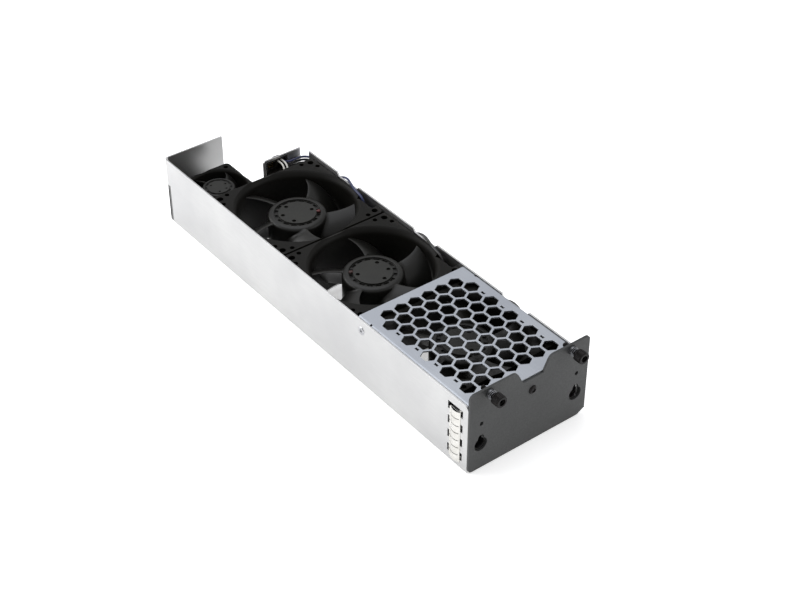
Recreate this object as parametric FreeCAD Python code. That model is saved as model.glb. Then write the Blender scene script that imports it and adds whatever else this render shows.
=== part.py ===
import FreeCAD, Part
import math
import os
from types import SimpleNamespace

# Server fan module: a slide-in sheet-steel tray with three 80 mm fans and one 40 mm fan lying flat.
# Frame: X across the tray, Y from the front plane rearwards, Z up. The origin is on the plane that the
# tray rests on, midway between the side walls, in the plane where the face plate meets the tray.
# All sizes are in millimetres.

V = FreeCAD.Vector

# ---------------------------------------------------------------- tray sheet metal
sheet = 1.0                 # zinc-plated steel of walls, floor and cover
bend_inner = 0.5            # inside radius of the ordinary bends
head_room = 3.0             # from the large fans' top to the walls' top
rear_room = 12.4            # from the small fan to the rear tab
side_gap = 0.4              # from a large fan's frame to the wall beside it
floor_rise = 6.0            # underside of the floor above the resting plane
front_cavity = 15.5         # from the front plane to the first large fan
fan_gap = 0.3               # from a large fan's frame to the partition beside it
tab_room = 4.8              # room for the cover's rear tabs behind the first large fan
tab_bend = 2.5              # inside radius of the left wall's bend into the rear tab
tab_reach = 45.7            # rear tab's reach from the left wall's outer face
wall_corner = 3.0           # rounding of the walls' top front corners
right_wall_gap = 7.4        # the right wall stops short of the connector flange
bend_slot_low = 3.0         # slot in the left wall's rear bend: lower end, length, width, distance
bend_slot_length = 22.6
bend_slot_width = 2.7
bend_slot_back = 1.3        # from the rear tab's outer face
bend_slot_in = 2.5          # how far it reaches in from the wall's outer face

# ---------------------------------------------------------------- lead recesses of the right wall
recess_length = 20.0        # flat bottom of a recess
recess_slope = 2.0          # run of each sloped end
recess_depth = 2.2          # at the open fans
covered_recess_depth = 3.2  # at the fan under the cover

# ---------------------------------------------------------------- hex cover
cover_length = 102.6        # from the front plane to the cover's rear edge
cover_fit = 0.15            # from each side flange to the wall
cover_flange = 2.6          # depth of the long side flanges, from the cover's top
hex_pitch = 10.16           # between hole centres
hex_flats = 8.75            # across the flats of a hole
hex_rear_margin = 10.0      # from the cover's rear edge to the last row's centres
hex_rows = 10
hex_per_row = 6             # in the even rows, the odd rows have one more
end_hole_across = 1.6       # small holes that end the shorter rows: across the tray and along it
end_hole_along = 3.0
cover_tab_width = 4.0
cover_tab_drop = 12.0       # from the cover's top to the tab's end
cover_tab_start = 0.5       # from the first fan's rear face to the tab
notch_from_end = 12.5       # bend relief, from the cover's rear edge
notch_width = 1.6
notch_depth = 1.6
rivet_drop = 7.7            # rivet axis below the cover's top
rivet_shank_r = 1.2
rivet_head_r = 2.2
rivet_head_t = 0.5

# ---------------------------------------------------------------- large fans
fan_count = 3
fan_size = 80.0
fan_depth = 38.0
fan_hole_pitch = 71.5
fan_hole_r = 2.15
fan_corner_r = 3.5
fan_ear_t = 4.4             # thickness of the square flanges
fan_bore_r = 38.2
fan_duct_wall = 1.4
fan_mouth = 3.0             # flare of the duct's mouth, cut off by the frame's flat sides
fan_mouth_depth = 5.0
fan_pocket_r = 1.6          # two small pockets beside each screw hole in the upper flange
fan_pocket_along = 29.5     # from the frame's middle, along its side
fan_pocket_edge = 2.8       # from the frame's side
fan_pocket_depth = 3.0
fan_hub_r = 19.5
fan_hub_drop = 5.8          # hub face below the frame's top
fan_hub_base = 7.0          # hub's lower rim above the frame's bottom
fan_tip_gap = 0.6           # from the blade tips to the duct
fan_blade_count = 5
fan_blade_low = 7.5         # lowest edge of the blades above the frame's bottom
fan_blade_drop = 4.2        # highest edge of the blades below the frame's top
fan_blade_turns = [20.0, 33.5, 2.2]     # each rotor's blades at rest, in degrees about the axis
fan_disc_r = 12.4           # flat disc on the hub face
fan_groove_r = 15.2         # outer radius of the groove round the disc
fan_dot_radius = 9.4        # circle of the five small pockets
fan_dot_r = 0.8
fan_dot_count = 5
fan_shaft_r = 1.5
fan_bearing_r = 4.0
fan_bearing_h = 4.0
fan_strut_w = 3.4
fan_strut_h = 5.0
fan_lead_strut_w = 5.6      # the strut that carries the leads
fan_hub_wall = 2.0          # hub's moulded wall and roof
fan_yoke_wall = 1.0         # steel cup pressed into the hub
fan_magnet_wall = 1.6
fan_boss_wall = 1.2         # bearing tube's wall

# ---------------------------------------------------------------- small fan
small_size = 40.0
small_depth = 28.0
small_hole_pitch = 32.0
small_hole_r = 1.75
small_corner_r = 2.5
small_ear_t = 3.2
small_bore_r = 19.0
small_duct_wall = 0.8
small_mouth = 1.6
small_mouth_depth = 2.6
small_hub_r = 11.0
small_hub_drop = 1.2
small_hub_base = 5.0
small_tip_gap = 0.5
small_blade_count = 5
small_blade_low = 5.5
small_blade_drop = 1.6
small_disc_r = 7.6
small_groove_r = 9.0
small_dot_r = 0.7
small_shaft_r = 1.0
small_bearing_r = 2.5
small_bearing_h = 2.5
small_strut_w = 2.2
small_strut_h = 3.0
small_hub_wall = 1.3
small_yoke_wall = 0.8
small_magnet_wall = 1.2
small_boss_wall = 0.8
small_lead_strut_w = 3.4
small_lead_gap = 0.1        # between the small fan's two leads
small_wall_gap = 0.3        # from the small fan to the left wall
small_fan_room = 2.1        # from the last partition to the small fan

# ---------------------------------------------------------------- motor, shared by both fan sizes
groove_depth = 1.1
dot_depth = 0.7
hub_edge_r = 2.6            # rounding of the hub's rim
air_gap = 0.6               # magnet to stator
rotor_lift = 0.8            # rotor above the circuit board
base_lift = 1.2             # motor base and struts above the frame's bottom
base_t = 2.0                # motor base and board
board_t = 1.2
shaft_fit = 0.03            # running clearance of the shaft in its bearings
shaft_end_gap = 0.6         # shaft end above the motor base
pole_count = 4
pole_neck = 0.14            # half width of a pole's neck, over the stack's radius
pole_rim = 0.16             # thickness of core and pole shoes, over the stack's depth from bore to rim
coil_margin = 0.24          # from the coils to bore and rim, over that depth
coil_spread = 1.6           # half width of a coil, over the neck's
blade_root_t = 1.7
blade_tip_t = 1.1
blade_root_start = 0.6      # root section's distance from the axis, over the hub's radius
blade_tip_end = 1.03        # tip section's distance from the axis, over the tip's radius
blade_root_half = 0.45      # half chord at the root, over the hub's radius
blade_mid_half = 0.31       # half chord half-way out, over the tip's radius
blade_tip_half = 0.42       # half chord at the tip, over the tip's radius
blade_mid_lean = 18.0       # forward sweep half-way out, in degrees
blade_tip_lean = 26.0       # forward sweep at the tip
blade_camber = 0.13         # over the chord
blade_low_rise = 0.5        # lower edge's rise from each section to the next one in

# ---------------------------------------------------------------- partitions
partition_t = 1.0
partition_side_gap = 0.5    # to each wall
partition_drop = 1.0        # top edge below the fans' top
partition_tab_w = 9.0
partition_tab_x = 26.0      # from the middle to each tab
tab_slot_fit = 0.15

# ---------------------------------------------------------------- face plate
plate_t = 1.5
plate_rise = 9.0            # plate's top above the walls
plate_right_reach = 46.9    # the plate's right edge, from the tray's middle
plate_left_corner = 3.5
plate_right_corner = 2.5
plate_foot_r = 3.0
chamfer_across = 5.5
chamfer_up = 3.0
gap_top_half = 12.4         # half width of the top notch at its mouth
gap_foot_half = 7.5         # and at its foot
gap_mouth_r = 4.5
gap_offset = 1.75           # the notch's middle, from the plate's middle
keyhole_half = 35.5         # keyholes and tapped holes, from the plate's middle
keyhole_z = 18.0
keyhole_r = 4.6
keyhole_slot_r = 2.2
keyhole_rise = 4.8          # slot's round end above the keyhole's centre
keyhole_lip = 0.9           # how far the tray's flange stands inside the plate's keyhole
pilot_z = 33.2
pilot_r = 1.35
centre_screw_z = 38.5

# ---------------------------------------------------------------- captive thumbscrews
screw_half = 30.3           # from the plate's middle
screw_rise = 5.0            # screw axis above the walls
screw_r = 1.5
screw_length = 15.0
ferrule_r = 2.9
ferrule_bush_r = 2.2
ferrule_t = 1.6             # how far the ferrule stands before the plate
ferrule_fit = 0.08
knob_r = 4.5
knob_length = 6.4
knob_gap = 3.0              # from the ferrule to the knob at rest
knob_chamfer = 0.6
knob_pocket_r = 3.1
knob_pocket_depth = 3.6
socket_r = 2.4
socket_depth = 1.6
washer_t = 0.6
washer_fit = 0.15
spring_r = 2.5              # mean radius of the coil
spring_wire = 0.55
spring_turns = 4.0
collar_r = 2.4
collar_t = 0.8
collar_gap = 0.3

# ---------------------------------------------------------------- shielding finger strip
finger_count = 7
finger_pitch = 5.3
finger_slit = 0.5
finger_t = 0.25
finger_crown = 1.3          # how far the fingers bow out from the wall
finger_foot = 1.2
finger_span = 7.0           # bowed stretch between the feet
strip_front = 6.2           # front edge of the strip from the front plane
strip_low = 3.2
window_slots = 4
window_slot_pitch = 10.5
window_slot_h = 5.6
window_slot_w = 2.2
window_slot_low = 5.3
window_front = 4.4
window_rear = 15.2
window_band = 2.4           # open band across the strip's top end
clip_t = 0.25
clip_half_h = 1.0           # half height of each clip behind the wall

# ---------------------------------------------------------------- connector and leads
connector_room = 10.3       # from the last partition to the connector flange
connector_x = 19.4
connector_w = 17.3
connector_h = 11.0
connector_drop = 7.2        # connector's middle below the walls' top
connector_front = 1.0       # how far the housing stands before the flange
connector_cavity = 4.0      # open rear of the housing behind the flange, where the leads go in
connector_web = 2.0         # web that holds the contacts
connector_mouth = 6.0       # hollow mating face
connector_ear = 3.8         # lower ear that the screws pass through
connector_ear_t = 2.0
connector_screw_half = 6.0  # screws from the connector's middle
connector_fit = 0.1
connector_wall = 1.4
flange_left = 8.8           # connector flange, left and right edges
flange_right = 38.6
flange_corner = 2.0
contact_cols = 4
contact_rows = 2
contact_pitch = 2.7
contact_w = 1.0
contact_tail = 1.5          # before the web
contact_pin = 5.0           # behind it
lead_d = 1.6
lead_trim = 0.45            # share of the shorter run that a lead's bend takes
lead_fit = 0.1              # from a lead to the sheet that it lies on
lead_groove_fit = 0.2       # from a lead to the wall of its groove in a fan frame
lead_under = 2.0            # how far a lead reaches in under the stator's rim
lead_corner_r = 43.7        # where a lead turns up behind the duct, from the fan's axis
lead_rise_x = 37.5          # upright stretch of a lead, from the fan's axis
lead_rise_y = 27.5
lead_slot_reach = 4.0       # slot in the flange's right edge
lead_slot_near = 16.0       # the slot's ends, from the fan's axis
lead_slot_far = 32.5
lead_lane = 0.6             # from the right wall to the leads beside it
lead_step = 2.3             # between leads at the connector
lead_top_rise = 1.4         # highest lead at the connector, above its middle
lead_lift = 10.0            # first upright stretch of a lead, behind the duct
lead_slot_before = 5.0      # where a lead lies flat before the slot's near end
lead_cross_start = 11.5     # where a lead starts to cross the wall, before the fan's middle
lead_cross_shift = 0.5
lead_cross_end = 4.0        # where it has crossed, behind the fan's middle
lead_descent = 2.0          # run down beside the wall, over its drop
small_lead_d = 1.2
small_lead_rise = 3.2       # small leads at the connector, above its middle
clip_w = 6.0
clip_foot = 3.4
clip_base_t = 1.0

# ---------------------------------------------------------------- screws
fan_screw_r = 2.0
fan_screw_head_r = 3.1
fan_screw_head_h = 2.2
fan_screw_length = 9.0
small_screw_r = 1.6
small_screw_head_r = 2.8
small_screw_head_h = 1.9
small_screw_length = 8.0
screw_hole_fit = 0.3
centre_screw_r = 1.5
centre_head_r = 2.9
centre_head_h = 1.0
centre_screw_length = 6.0
drive_r = 0.9
drive_depth = 0.65
connector_screw_r = 1.0
connector_head_r = 1.7
connector_head_h = 1.0
connector_screw_length = 6.0

# ---------------------------------------------------------------- places that follow from the sizes
base_top = base_lift + base_t
half_in = fan_size / 2 + side_gap
half_out = half_in + sheet
floor_top = floor_rise + sheet
fan_top = floor_top + fan_depth
box_height = fan_top + head_room
cover_under = box_height - sheet
plate_height = box_height + plate_rise
screw_z = box_height + screw_rise
fan_1_y = front_cavity + fan_size / 2
partition_1_y = front_cavity + fan_size + tab_room
fan_pitch = fan_size + 2 * fan_gap + partition_t
partition_ys = [partition_1_y + i * fan_pitch for i in range(fan_count)]
fan_ys = [fan_1_y] + [y + partition_t + fan_gap + fan_size / 2 for y in partition_ys[:-1]]
last_partition_rear = partition_ys[-1] + partition_t
small_x = -half_in + small_wall_gap + small_size / 2
small_y = last_partition_rear + small_fan_room + small_size / 2
box_length = small_y + small_size / 2 + rear_room + sheet
flange_y = last_partition_rear + connector_room
right_wall_length = flange_y - right_wall_gap
connector_z = box_height - connector_drop
connector_web_y = flange_y + sheet + connector_cavity
lead_top_z = connector_z + lead_top_rise
floor_left_reach = tab_reach - half_out
plate_mid = (plate_right_reach - half_out) / 2

big = SimpleNamespace(
    size=fan_size, depth=fan_depth, pitch=fan_hole_pitch, hole_r=fan_hole_r, corner=fan_corner_r,
    ear=fan_ear_t, bore=fan_bore_r, wall=fan_duct_wall, mouth=fan_mouth, mouth_depth=fan_mouth_depth,
    hub=fan_hub_r, hub_top=fan_depth - fan_hub_drop, hub_base=fan_hub_base,
    tip=fan_bore_r - fan_tip_gap, blades=fan_blade_count, low=fan_blade_low,
    high=fan_depth - fan_blade_drop, pocket_r=fan_pocket_r, pocket_depth=fan_pocket_depth,
    pockets=[(fan_pocket_along, fan_size / 2 - fan_pocket_edge),
             (fan_size / 2 - fan_pocket_edge, fan_pocket_along)],
    disc=fan_disc_r, groove=fan_groove_r, dot_circle=fan_dot_radius,
    dot_r=fan_dot_r, dots=fan_dot_count, shaft=fan_shaft_r, bearing=fan_bearing_r,
    bearing_h=fan_bearing_h, strut_w=fan_strut_w, strut_h=fan_strut_h, lead_strut=fan_lead_strut_w,
    hub_wall=fan_hub_wall, yoke=fan_yoke_wall, magnet=fan_magnet_wall, boss=fan_boss_wall,
    lead_d=lead_d, lead_seat=base_top + board_t, lead_offsets=[0.0])
small = SimpleNamespace(
    size=small_size, depth=small_depth, pitch=small_hole_pitch, hole_r=small_hole_r,
    corner=small_corner_r, ear=small_ear_t, bore=small_bore_r, wall=small_duct_wall,
    mouth=small_mouth, mouth_depth=small_mouth_depth, hub=small_hub_r,
    hub_top=small_depth - small_hub_drop, hub_base=small_hub_base, tip=small_bore_r - small_tip_gap,
    blades=small_blade_count, low=small_blade_low, high=small_depth - small_blade_drop,
    pocket_r=0.0, pocket_depth=0.0, pockets=[], disc=small_disc_r,
    groove=small_groove_r, dot_circle=0.0, dot_r=small_dot_r, dots=1,
    shaft=small_shaft_r, bearing=small_bearing_r, bearing_h=small_bearing_h,
    strut_w=small_strut_w, strut_h=small_strut_h, lead_strut=small_lead_strut_w,
    hub_wall=small_hub_wall, yoke=small_yoke_wall, magnet=small_magnet_wall, boss=small_boss_wall,
    lead_d=small_lead_d, lead_seat=base_top,
    lead_offsets=[i * (small_lead_d + small_lead_gap) / 2 for i in (-1, 1)])
LEAD_ANGLE = -math.degrees(math.atan2(lead_rise_y, lead_rise_x))


# ================================================================ plain geometry
def on_xy(u, v):
    return V(u, v, 0)


def on_xz(u, v):
    return V(u, 0, v)


def on_yz(u, v):
    return V(0, u, v)


def box(x0, x1, y0, y1, z0, z1):
    """Box between two corners."""
    return Part.makeBox(x1 - x0, y1 - y0, z1 - z0, V(x0, y0, z0))


def rod(radius, start, end):
    """Cylinder from one point to another."""
    axis = end - start
    return Part.makeCylinder(radius, axis.Length, start, axis)


def disc(radius, z0, z1, x=0.0, y=0.0):
    """Upright cylinder."""
    return rod(radius, V(x, y, z0), V(x, y, z1))


def ring(outer, inner, z0, z1):
    """Upright tube on the Z axis."""
    return disc(outer, z0, z1).cut(disc(inner, z0, z1))


def join(shapes):
    """One solid from touching shapes."""
    return shapes[0].fuse(shapes[1:]).removeSplitter()


def rounded_wire(corners, place):
    """Closed outline through (u, v, radius) corners, on the plane that place() maps to."""
    edges = []
    ends = []
    count = len(corners)
    for i, (u, v, radius) in enumerate(corners):
        corner = V(u, v, 0)
        before = V(*corners[i - 1][:2], 0) - corner
        after = V(*corners[(i + 1) % count][:2], 0) - corner
        before.normalize()
        after.normalize()
        if radius <= 0:
            ends.append((corner, None, corner))
            continue
        half = before.getAngle(after) / 2
        reach = radius / math.tan(half)
        inward = before + after
        inward.normalize()
        centre = corner + inward * (radius / math.sin(half))
        ends.append((corner + before * reach, centre - inward * radius, corner + after * reach))
    for i, (start, middle, end) in enumerate(ends):
        if middle is not None:
            arc = Part.Arc(place(start.x, start.y), place(middle.x, middle.y), place(end.x, end.y))
            edges.append(arc.toShape())
        following = ends[(i + 1) % count][0]
        if (following - end).Length > 1e-6:
            line = Part.LineSegment(place(end.x, end.y), place(following.x, following.y))
            edges.append(line.toShape())
    return Part.Wire(edges)


def prism(corners, place, start, length):
    """Outline on a plane, moved by start and drawn out by length."""
    return Part.Face(rounded_wire(corners, place)).extrude(length).translated(start)


def folded(path, place, inner_radius, start, length):
    """Sheet of constant thickness whose middle follows the path, drawn out by length."""
    points = [V(u, v, 0) for u, v in path]
    last = len(points) - 1
    sides = {1: [], -1: []}
    for i, point in enumerate(points):
        before = point - points[i - 1] if i > 0 else points[1] - point
        after = points[i + 1] - point if i < last else before
        before.normalize()
        after.normalize()
        normal_before = V(-before.y, before.x, 0)
        normal_after = V(-after.y, after.x, 0)
        mitre = (normal_before + normal_after) * (1 / (1 + normal_before.dot(normal_after)))
        turn = before.x * after.y - before.y * after.x
        for side, corners in sides.items():
            at = point + mitre * (side * sheet / 2)
            inside = turn * side > 0
            radius = 0.0 if abs(turn) < 1e-9 else inner_radius + (0.0 if inside else sheet)
            corners.append((at.x, at.y, radius))
    return prism(sides[1] + sides[-1][::-1], place, start, length)


def four_corners(half):
    """The four corners of a square pattern."""
    return [(sx * half, sy * half) for sx in (-1, 1) for sy in (-1, 1)]


def around(shape, count, axis=V(0, 0, 1)):
    """Copies of a shape at equal turns about Z."""
    return [shape.rotated(V(0, 0, 0), axis, i * 360 / count) for i in range(count)]


# ================================================================ tray
def side_profile(length, dips):
    """Outline of a wall seen from the side, as (y, z, radius), with (middle, depth) dips in its top."""
    top = []
    for middle, depth in dips:
        low = recess_length / 2
        wide = low + recess_slope
        top += [(middle - wide, box_height, 0), (middle - low, box_height - depth, 0),
                (middle + low, box_height - depth, 0), (middle + wide, box_height, 0)]
    return [(0, 0, 0), (0, box_height, wall_corner)] + top + [(length, box_height, 0), (length, 0, 0)]


def slot_lows():
    """Lower ends of the window slots for the finger strip."""
    return [window_slot_low + i * window_slot_pitch for i in range(window_slots)]


def left_wall():
    """Side wall bent into the rear tab, with the window for the finger strip."""
    mid_x = -half_out + sheet / 2
    mid_y = box_length - sheet / 2
    path = [(mid_x, 0), (mid_x, mid_y), (floor_left_reach, mid_y)]
    wall = folded(path, on_xy, tab_bend, V(0, 0, 0), V(0, 0, box_height))
    outline = prism(side_profile(box_length, []), on_yz, V(-half_out, 0, 0), V(tab_reach, 0, 0))
    wall = wall.common(outline)
    cuts = []
    for low in slot_lows():
        for front in (window_front, window_rear):
            cuts.append(box(-half_out, -half_in, front, front + window_slot_w, low, low + window_slot_h))
    band_top = slot_lows()[-1] + window_slot_h
    cuts.append(box(-half_out, -half_in, window_front, window_rear + window_slot_w,
                    band_top - window_band, band_top))
    cuts.append(rivet_hole(-1))
    slot_rear = box_length - bend_slot_back
    cuts.append(box(-half_out, -half_out + bend_slot_in, slot_rear - bend_slot_width, slot_rear,
                    bend_slot_low, bend_slot_low + bend_slot_length))
    return wall.cut(cuts)


def right_wall():
    """Side wall with a lead recess beside each large fan."""
    dips = [(fan_ys[0], covered_recess_depth)] + [(y, recess_depth) for y in fan_ys[1:]]
    wall = prism(side_profile(right_wall_length, dips), on_yz, V(half_in, 0, 0), V(sheet, 0, 0))
    return wall.cut(rivet_hole(1))


def rivet_axis(side):
    """Inner and outer ends of a cover rivet's shank."""
    y = front_cavity + fan_size + cover_tab_start + cover_tab_width / 2
    z = box_height - rivet_drop
    return V(side * (half_in - cover_fit - sheet), y, z), V(side * half_out, y, z)


def rivet_hole(side):
    """Hole through wall and cover tab."""
    inner, outer = rivet_axis(side)
    return rod(rivet_shank_r, inner, outer)


def cover_rivets():
    """Two rivets through walls and cover tabs, headed outside and upset inside."""
    rivets = []
    for side in (-1, 1):
        inner, outer = rivet_axis(side)
        out = V(side * rivet_head_t, 0, 0)
        rivets.append(join([rod(rivet_shank_r, inner, outer), rod(rivet_head_r, outer, outer + out),
                            rod(rivet_head_r, inner - out, inner)]))
    return Part.makeCompound(rivets)


def keyhole(centre_x, shrink, y0, y1):
    """Keyhole cutter, round below with a narrower round-ended slot above."""
    hole_r = keyhole_r - shrink
    slot_r = keyhole_slot_r - shrink / 2
    top = keyhole_z + keyhole_rise
    slot = box(centre_x - slot_r, centre_x + slot_r, y0, y1, keyhole_z, top)
    low = rod(hole_r, V(centre_x, y0, keyhole_z), V(centre_x, y1, keyhole_z))
    high = rod(slot_r, V(centre_x, y0, top), V(centre_x, y1, top))
    return join([low, slot, high])


def front_holes(y0, y1, shrink):
    """Keyholes, pilot holes and centre hole that plate and front flange share."""
    cuts = []
    for side in (-1, 1):
        x = plate_mid + side * keyhole_half
        cuts.append(keyhole(x, shrink, y0, y1))
        cuts.append(rod(pilot_r, V(x, y0, pilot_z), V(x, y1, pilot_z)))
    x = plate_mid + gap_offset
    cuts.append(rod(centre_screw_r, V(x, y0, centre_screw_z), V(x, y1, centre_screw_z)))
    return cuts


def screw_places(spec, x, y):
    """The four screw axes of a fan."""
    return [(x + dx, y + dy) for dx, dy in four_corners(spec.pitch / 2)]


def floor_pan():
    """Raised floor with side skirts, front flange and the upright connector flange."""
    mid_z = floor_rise + sheet / 2
    mid_x = half_in - sheet / 2
    bend = bend_inner + sheet
    length = box_length - sheet - bend
    skirts = [(-mid_x, 0), (-mid_x, mid_z), (mid_x, mid_z), (mid_x, 0)]
    pan = folded(skirts, on_xz, bend_inner, V(0, bend, 0), V(0, length, 0))
    plan = prism([(-half_in, 0, 0), (-half_in, box_length - sheet, tab_bend),
                  (floor_left_reach, box_length - sheet, 0), (floor_left_reach, flange_y + sheet, 0),
                  (half_in, flange_y + sheet, 0), (half_in, 0, 0)],
                 on_xy, V(0, 0, 0), V(0, 0, floor_top))
    pan = pan.common(plan)
    front = folded([(sheet / 2, cover_under), (sheet / 2, mid_z), (3 * bend, mid_z)],
                   on_yz, bend_inner, V(bend - half_in, 0, 0), V(2 * (half_in - bend), 0, 0))
    face = box(-half_in, half_in, 0, sheet, floor_rise + bend, cover_under)
    rear = folded([(flange_y - bend, mid_z), (flange_y + sheet / 2, mid_z),
                   (flange_y + sheet / 2, box_height)],
                  on_yz, bend_inner, V(flange_left, 0, 0), V(flange_right - flange_left, 0, 0))
    pan = pan.cut(box(flange_left, flange_right, flange_y - bend_inner, flange_y + sheet,
                      floor_rise, floor_top))
    corner = prism([(flange_left, 0, 0), (flange_left, box_height, flange_corner),
                    (flange_right, box_height, 0), (flange_right, 0, 0)],
                   on_xz, V(0, flange_y - 2 * bend, 0), V(0, 3 * bend + sheet, 0))
    pan = join([pan, front, face, rear.common(corner)])
    cuts = front_holes(0, sheet, keyhole_lip)
    for y in fan_ys:
        cuts.append(disc(fan_bore_r, floor_rise, floor_top, 0, y))
        for sx, sy in screw_places(big, 0, y):
            cuts.append(disc(fan_screw_r + screw_hole_fit, floor_rise, floor_top, sx, sy))
    cuts.append(disc(small_bore_r, floor_rise, floor_top, small_x, small_y))
    for sx, sy in screw_places(small, small_x, small_y):
        cuts.append(disc(small_screw_r + screw_hole_fit, floor_rise, floor_top, sx, sy))
    for y in partition_ys:
        for side in (-1, 1):
            half = partition_tab_w / 2 + tab_slot_fit
            x = side * partition_tab_x
            cuts.append(box(x - half, x + half, y - tab_slot_fit, y + partition_t + tab_slot_fit,
                            floor_rise, floor_top))
    fit = connector_fit
    cuts.append(box(connector_x - connector_w / 2 - fit, connector_x + connector_w / 2 + fit,
                    flange_y, flange_y + sheet,
                    connector_z - connector_h / 2 - fit, connector_z + connector_h / 2 + fit))
    for start, end in connector_screw_axes():
        cuts.append(rod(connector_screw_r + screw_hole_fit / 2, start, end))
    return pan.cut(cuts)


def fan_partition(index):
    """Thin upright partition with two tabs through the floor; the first one carries the cover."""
    y = partition_ys[index]
    top = cover_under if index == 0 else fan_top - partition_drop
    half = half_in - partition_side_gap
    if index == 0:
        half = half_in - cover_fit - sheet - partition_side_gap
    plate = box(-half, half, y, y + partition_t, floor_top, top)
    tabs = []
    for side in (-1, 1):
        x = side * partition_tab_x
        tabs.append(box(x - partition_tab_w / 2, x + partition_tab_w / 2, y, y + partition_t,
                        floor_rise, floor_top))
    return join([plate] + tabs)


# ================================================================ hex cover
def hexagon(x, y, flats, z0, z1):
    """Hexagonal prism with two flats facing along X."""
    radius = flats / math.sqrt(3)
    turns = [math.radians(60 * k) for k in range(6)]
    points = [V(x + radius * math.sin(turn), y + radius * math.cos(turn), z0) for turn in turns]
    return Part.Face(Part.makePolygon(points + points[:1])).extrude(V(0, 0, z1 - z0))


def grille_holes():
    """Rows of hexagonal holes, and the small ones that end the shorter rows."""
    holes = []
    row_step = hex_pitch * math.sqrt(3) / 2
    for row in range(hex_rows):
        y = cover_length - hex_rear_margin - row * row_step
        count = hex_per_row + row % 2
        for i in range(count):
            holes.append(hexagon((i - (count - 1) / 2) * hex_pitch, y, hex_flats, cover_under, box_height))
        if row % 2 == 0 and row > 0:
            inner = (hex_per_row + 1) / 2 * hex_pitch - hex_flats / 2
            for side in (-1, 1):
                near, far = sorted((side * inner, side * (inner + end_hole_across)))
                holes.append(box(near, far, y - end_hole_along / 2, y + end_hole_along / 2,
                                 cover_under, box_height))
    return holes


def top_grille():
    """Cover bent down at both sides, with two rear tabs for the rivets."""
    half = half_in - cover_fit - sheet / 2
    low = box_height - cover_tab_drop
    section = [(-half, low), (-half, box_height - sheet / 2), (half, box_height - sheet / 2), (half, low)]
    cover = folded(section, on_xz, bend_inner, V(0, 0, 0), V(0, cover_length, 0))
    wide = half_in + sheet
    flange_low = box_height - cover_flange
    lip_low = cover_under - bend_inner
    notch_y = cover_length - notch_from_end
    tab_y = front_cavity + fan_size + cover_tab_start
    cuts = [box(-wide, wide, 0, notch_y, low, flange_low),
            box(-wide, wide, notch_y, tab_y, low, lip_low),
            box(-wide, wide, tab_y + cover_tab_width, cover_length, low, lip_low),
            box(-wide, wide, 0, sheet, low, cover_under)]
    reach = recess_length / 2 + recess_slope
    cuts.append(box(half_in - 2 * sheet, wide, fan_ys[0] - reach, fan_ys[0] + reach, low, cover_under))
    for side in (-1, 1):
        edge = half_in - cover_fit
        near, far = sorted((side * (edge - notch_depth), side * wide))
        cuts.append(box(near, far, notch_y, notch_y + notch_width, low, box_height))
        cuts.append(rivet_hole(side))
    return cover.cut(cuts + grille_holes())


# ================================================================ face plate
def front_plate():
    """Painted face plate with its top notch, keyholes and bushed screw holes."""
    middle = plate_mid + gap_offset
    outline = [(-half_out, 0, plate_foot_r),
               (-half_out, plate_height, plate_left_corner),
               (middle - gap_top_half, plate_height, gap_mouth_r),
               (middle - gap_foot_half, cover_under, 0),
               (middle + gap_foot_half, cover_under, 0),
               (middle + gap_top_half, plate_height, gap_mouth_r),
               (plate_right_reach, plate_height, plate_right_corner),
               (plate_right_reach, chamfer_up, 0),
               (plate_right_reach - chamfer_across, 0, 0)]
    plate = prism(outline, on_xz, V(0, -plate_t, 0), V(0, plate_t, 0))
    cuts = front_holes(-plate_t, 0, 0)
    for side in (-1, 1):
        x = plate_mid + side * screw_half
        cuts.append(rod(ferrule_bush_r, V(x, -plate_t, screw_z), V(x, 0, screw_z)))
    return plate.cut(cuts)


def centre_screw():
    """Low round-headed screw in the middle of the plate."""
    x = plate_mid + gap_offset
    face = V(x, -plate_t, centre_screw_z)
    head = rod(centre_head_r, face, face - V(0, centre_head_h, 0))
    shank = rod(centre_screw_r, face, face + V(0, centre_screw_length, 0))
    drive = rod(drive_r, face - V(0, centre_head_h, 0), face - V(0, centre_head_h - drive_depth, 0))
    return join([head, shank]).cut(drive)


def screw_ferrules():
    """The two bushes pressed into the face plate."""
    bushes = []
    for side in (-1, 1):
        x = plate_mid + side * screw_half
        front = V(x, -plate_t - ferrule_t, screw_z)
        face = V(x, -plate_t, screw_z)
        back = V(x, 0, screw_z)
        bush = join([rod(ferrule_r, front, face), rod(ferrule_bush_r, face, back)])
        bushes.append(bush.cut(rod(screw_r + ferrule_fit, front, back)))
    return Part.makeCompound(bushes)


def knob_back():
    """Y of the knob's rear face at rest."""
    return -plate_t - ferrule_t - knob_gap


def thumbscrew(side):
    """Knob on its threaded shank, with the collar that keeps it in the plate."""
    x = plate_mid + side * screw_half
    back = knob_back()
    front = back - knob_length
    knob = rod(knob_r, V(x, back, screw_z), V(x, front, screw_z))
    rims = [e for e in knob.Edges
            if abs(e.BoundBox.YMin - front) < 1e-6 and abs(e.BoundBox.YMax - front) < 1e-6]
    knob = knob.makeChamfer(knob_chamfer, rims)
    pocket_end = back - knob_pocket_depth
    knob = knob.cut([rod(knob_pocket_r, V(x, back, screw_z), V(x, pocket_end, screw_z)),
                     rod(socket_r, V(x, front, screw_z), V(x, front + socket_depth, screw_z))])
    shank = rod(screw_r, V(x, pocket_end, screw_z), V(x, pocket_end + screw_length, screw_z))
    collar = rod(collar_r, V(x, collar_gap, screw_z), V(x, collar_gap + collar_t, screw_z))
    return join([knob, shank, collar])


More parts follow.
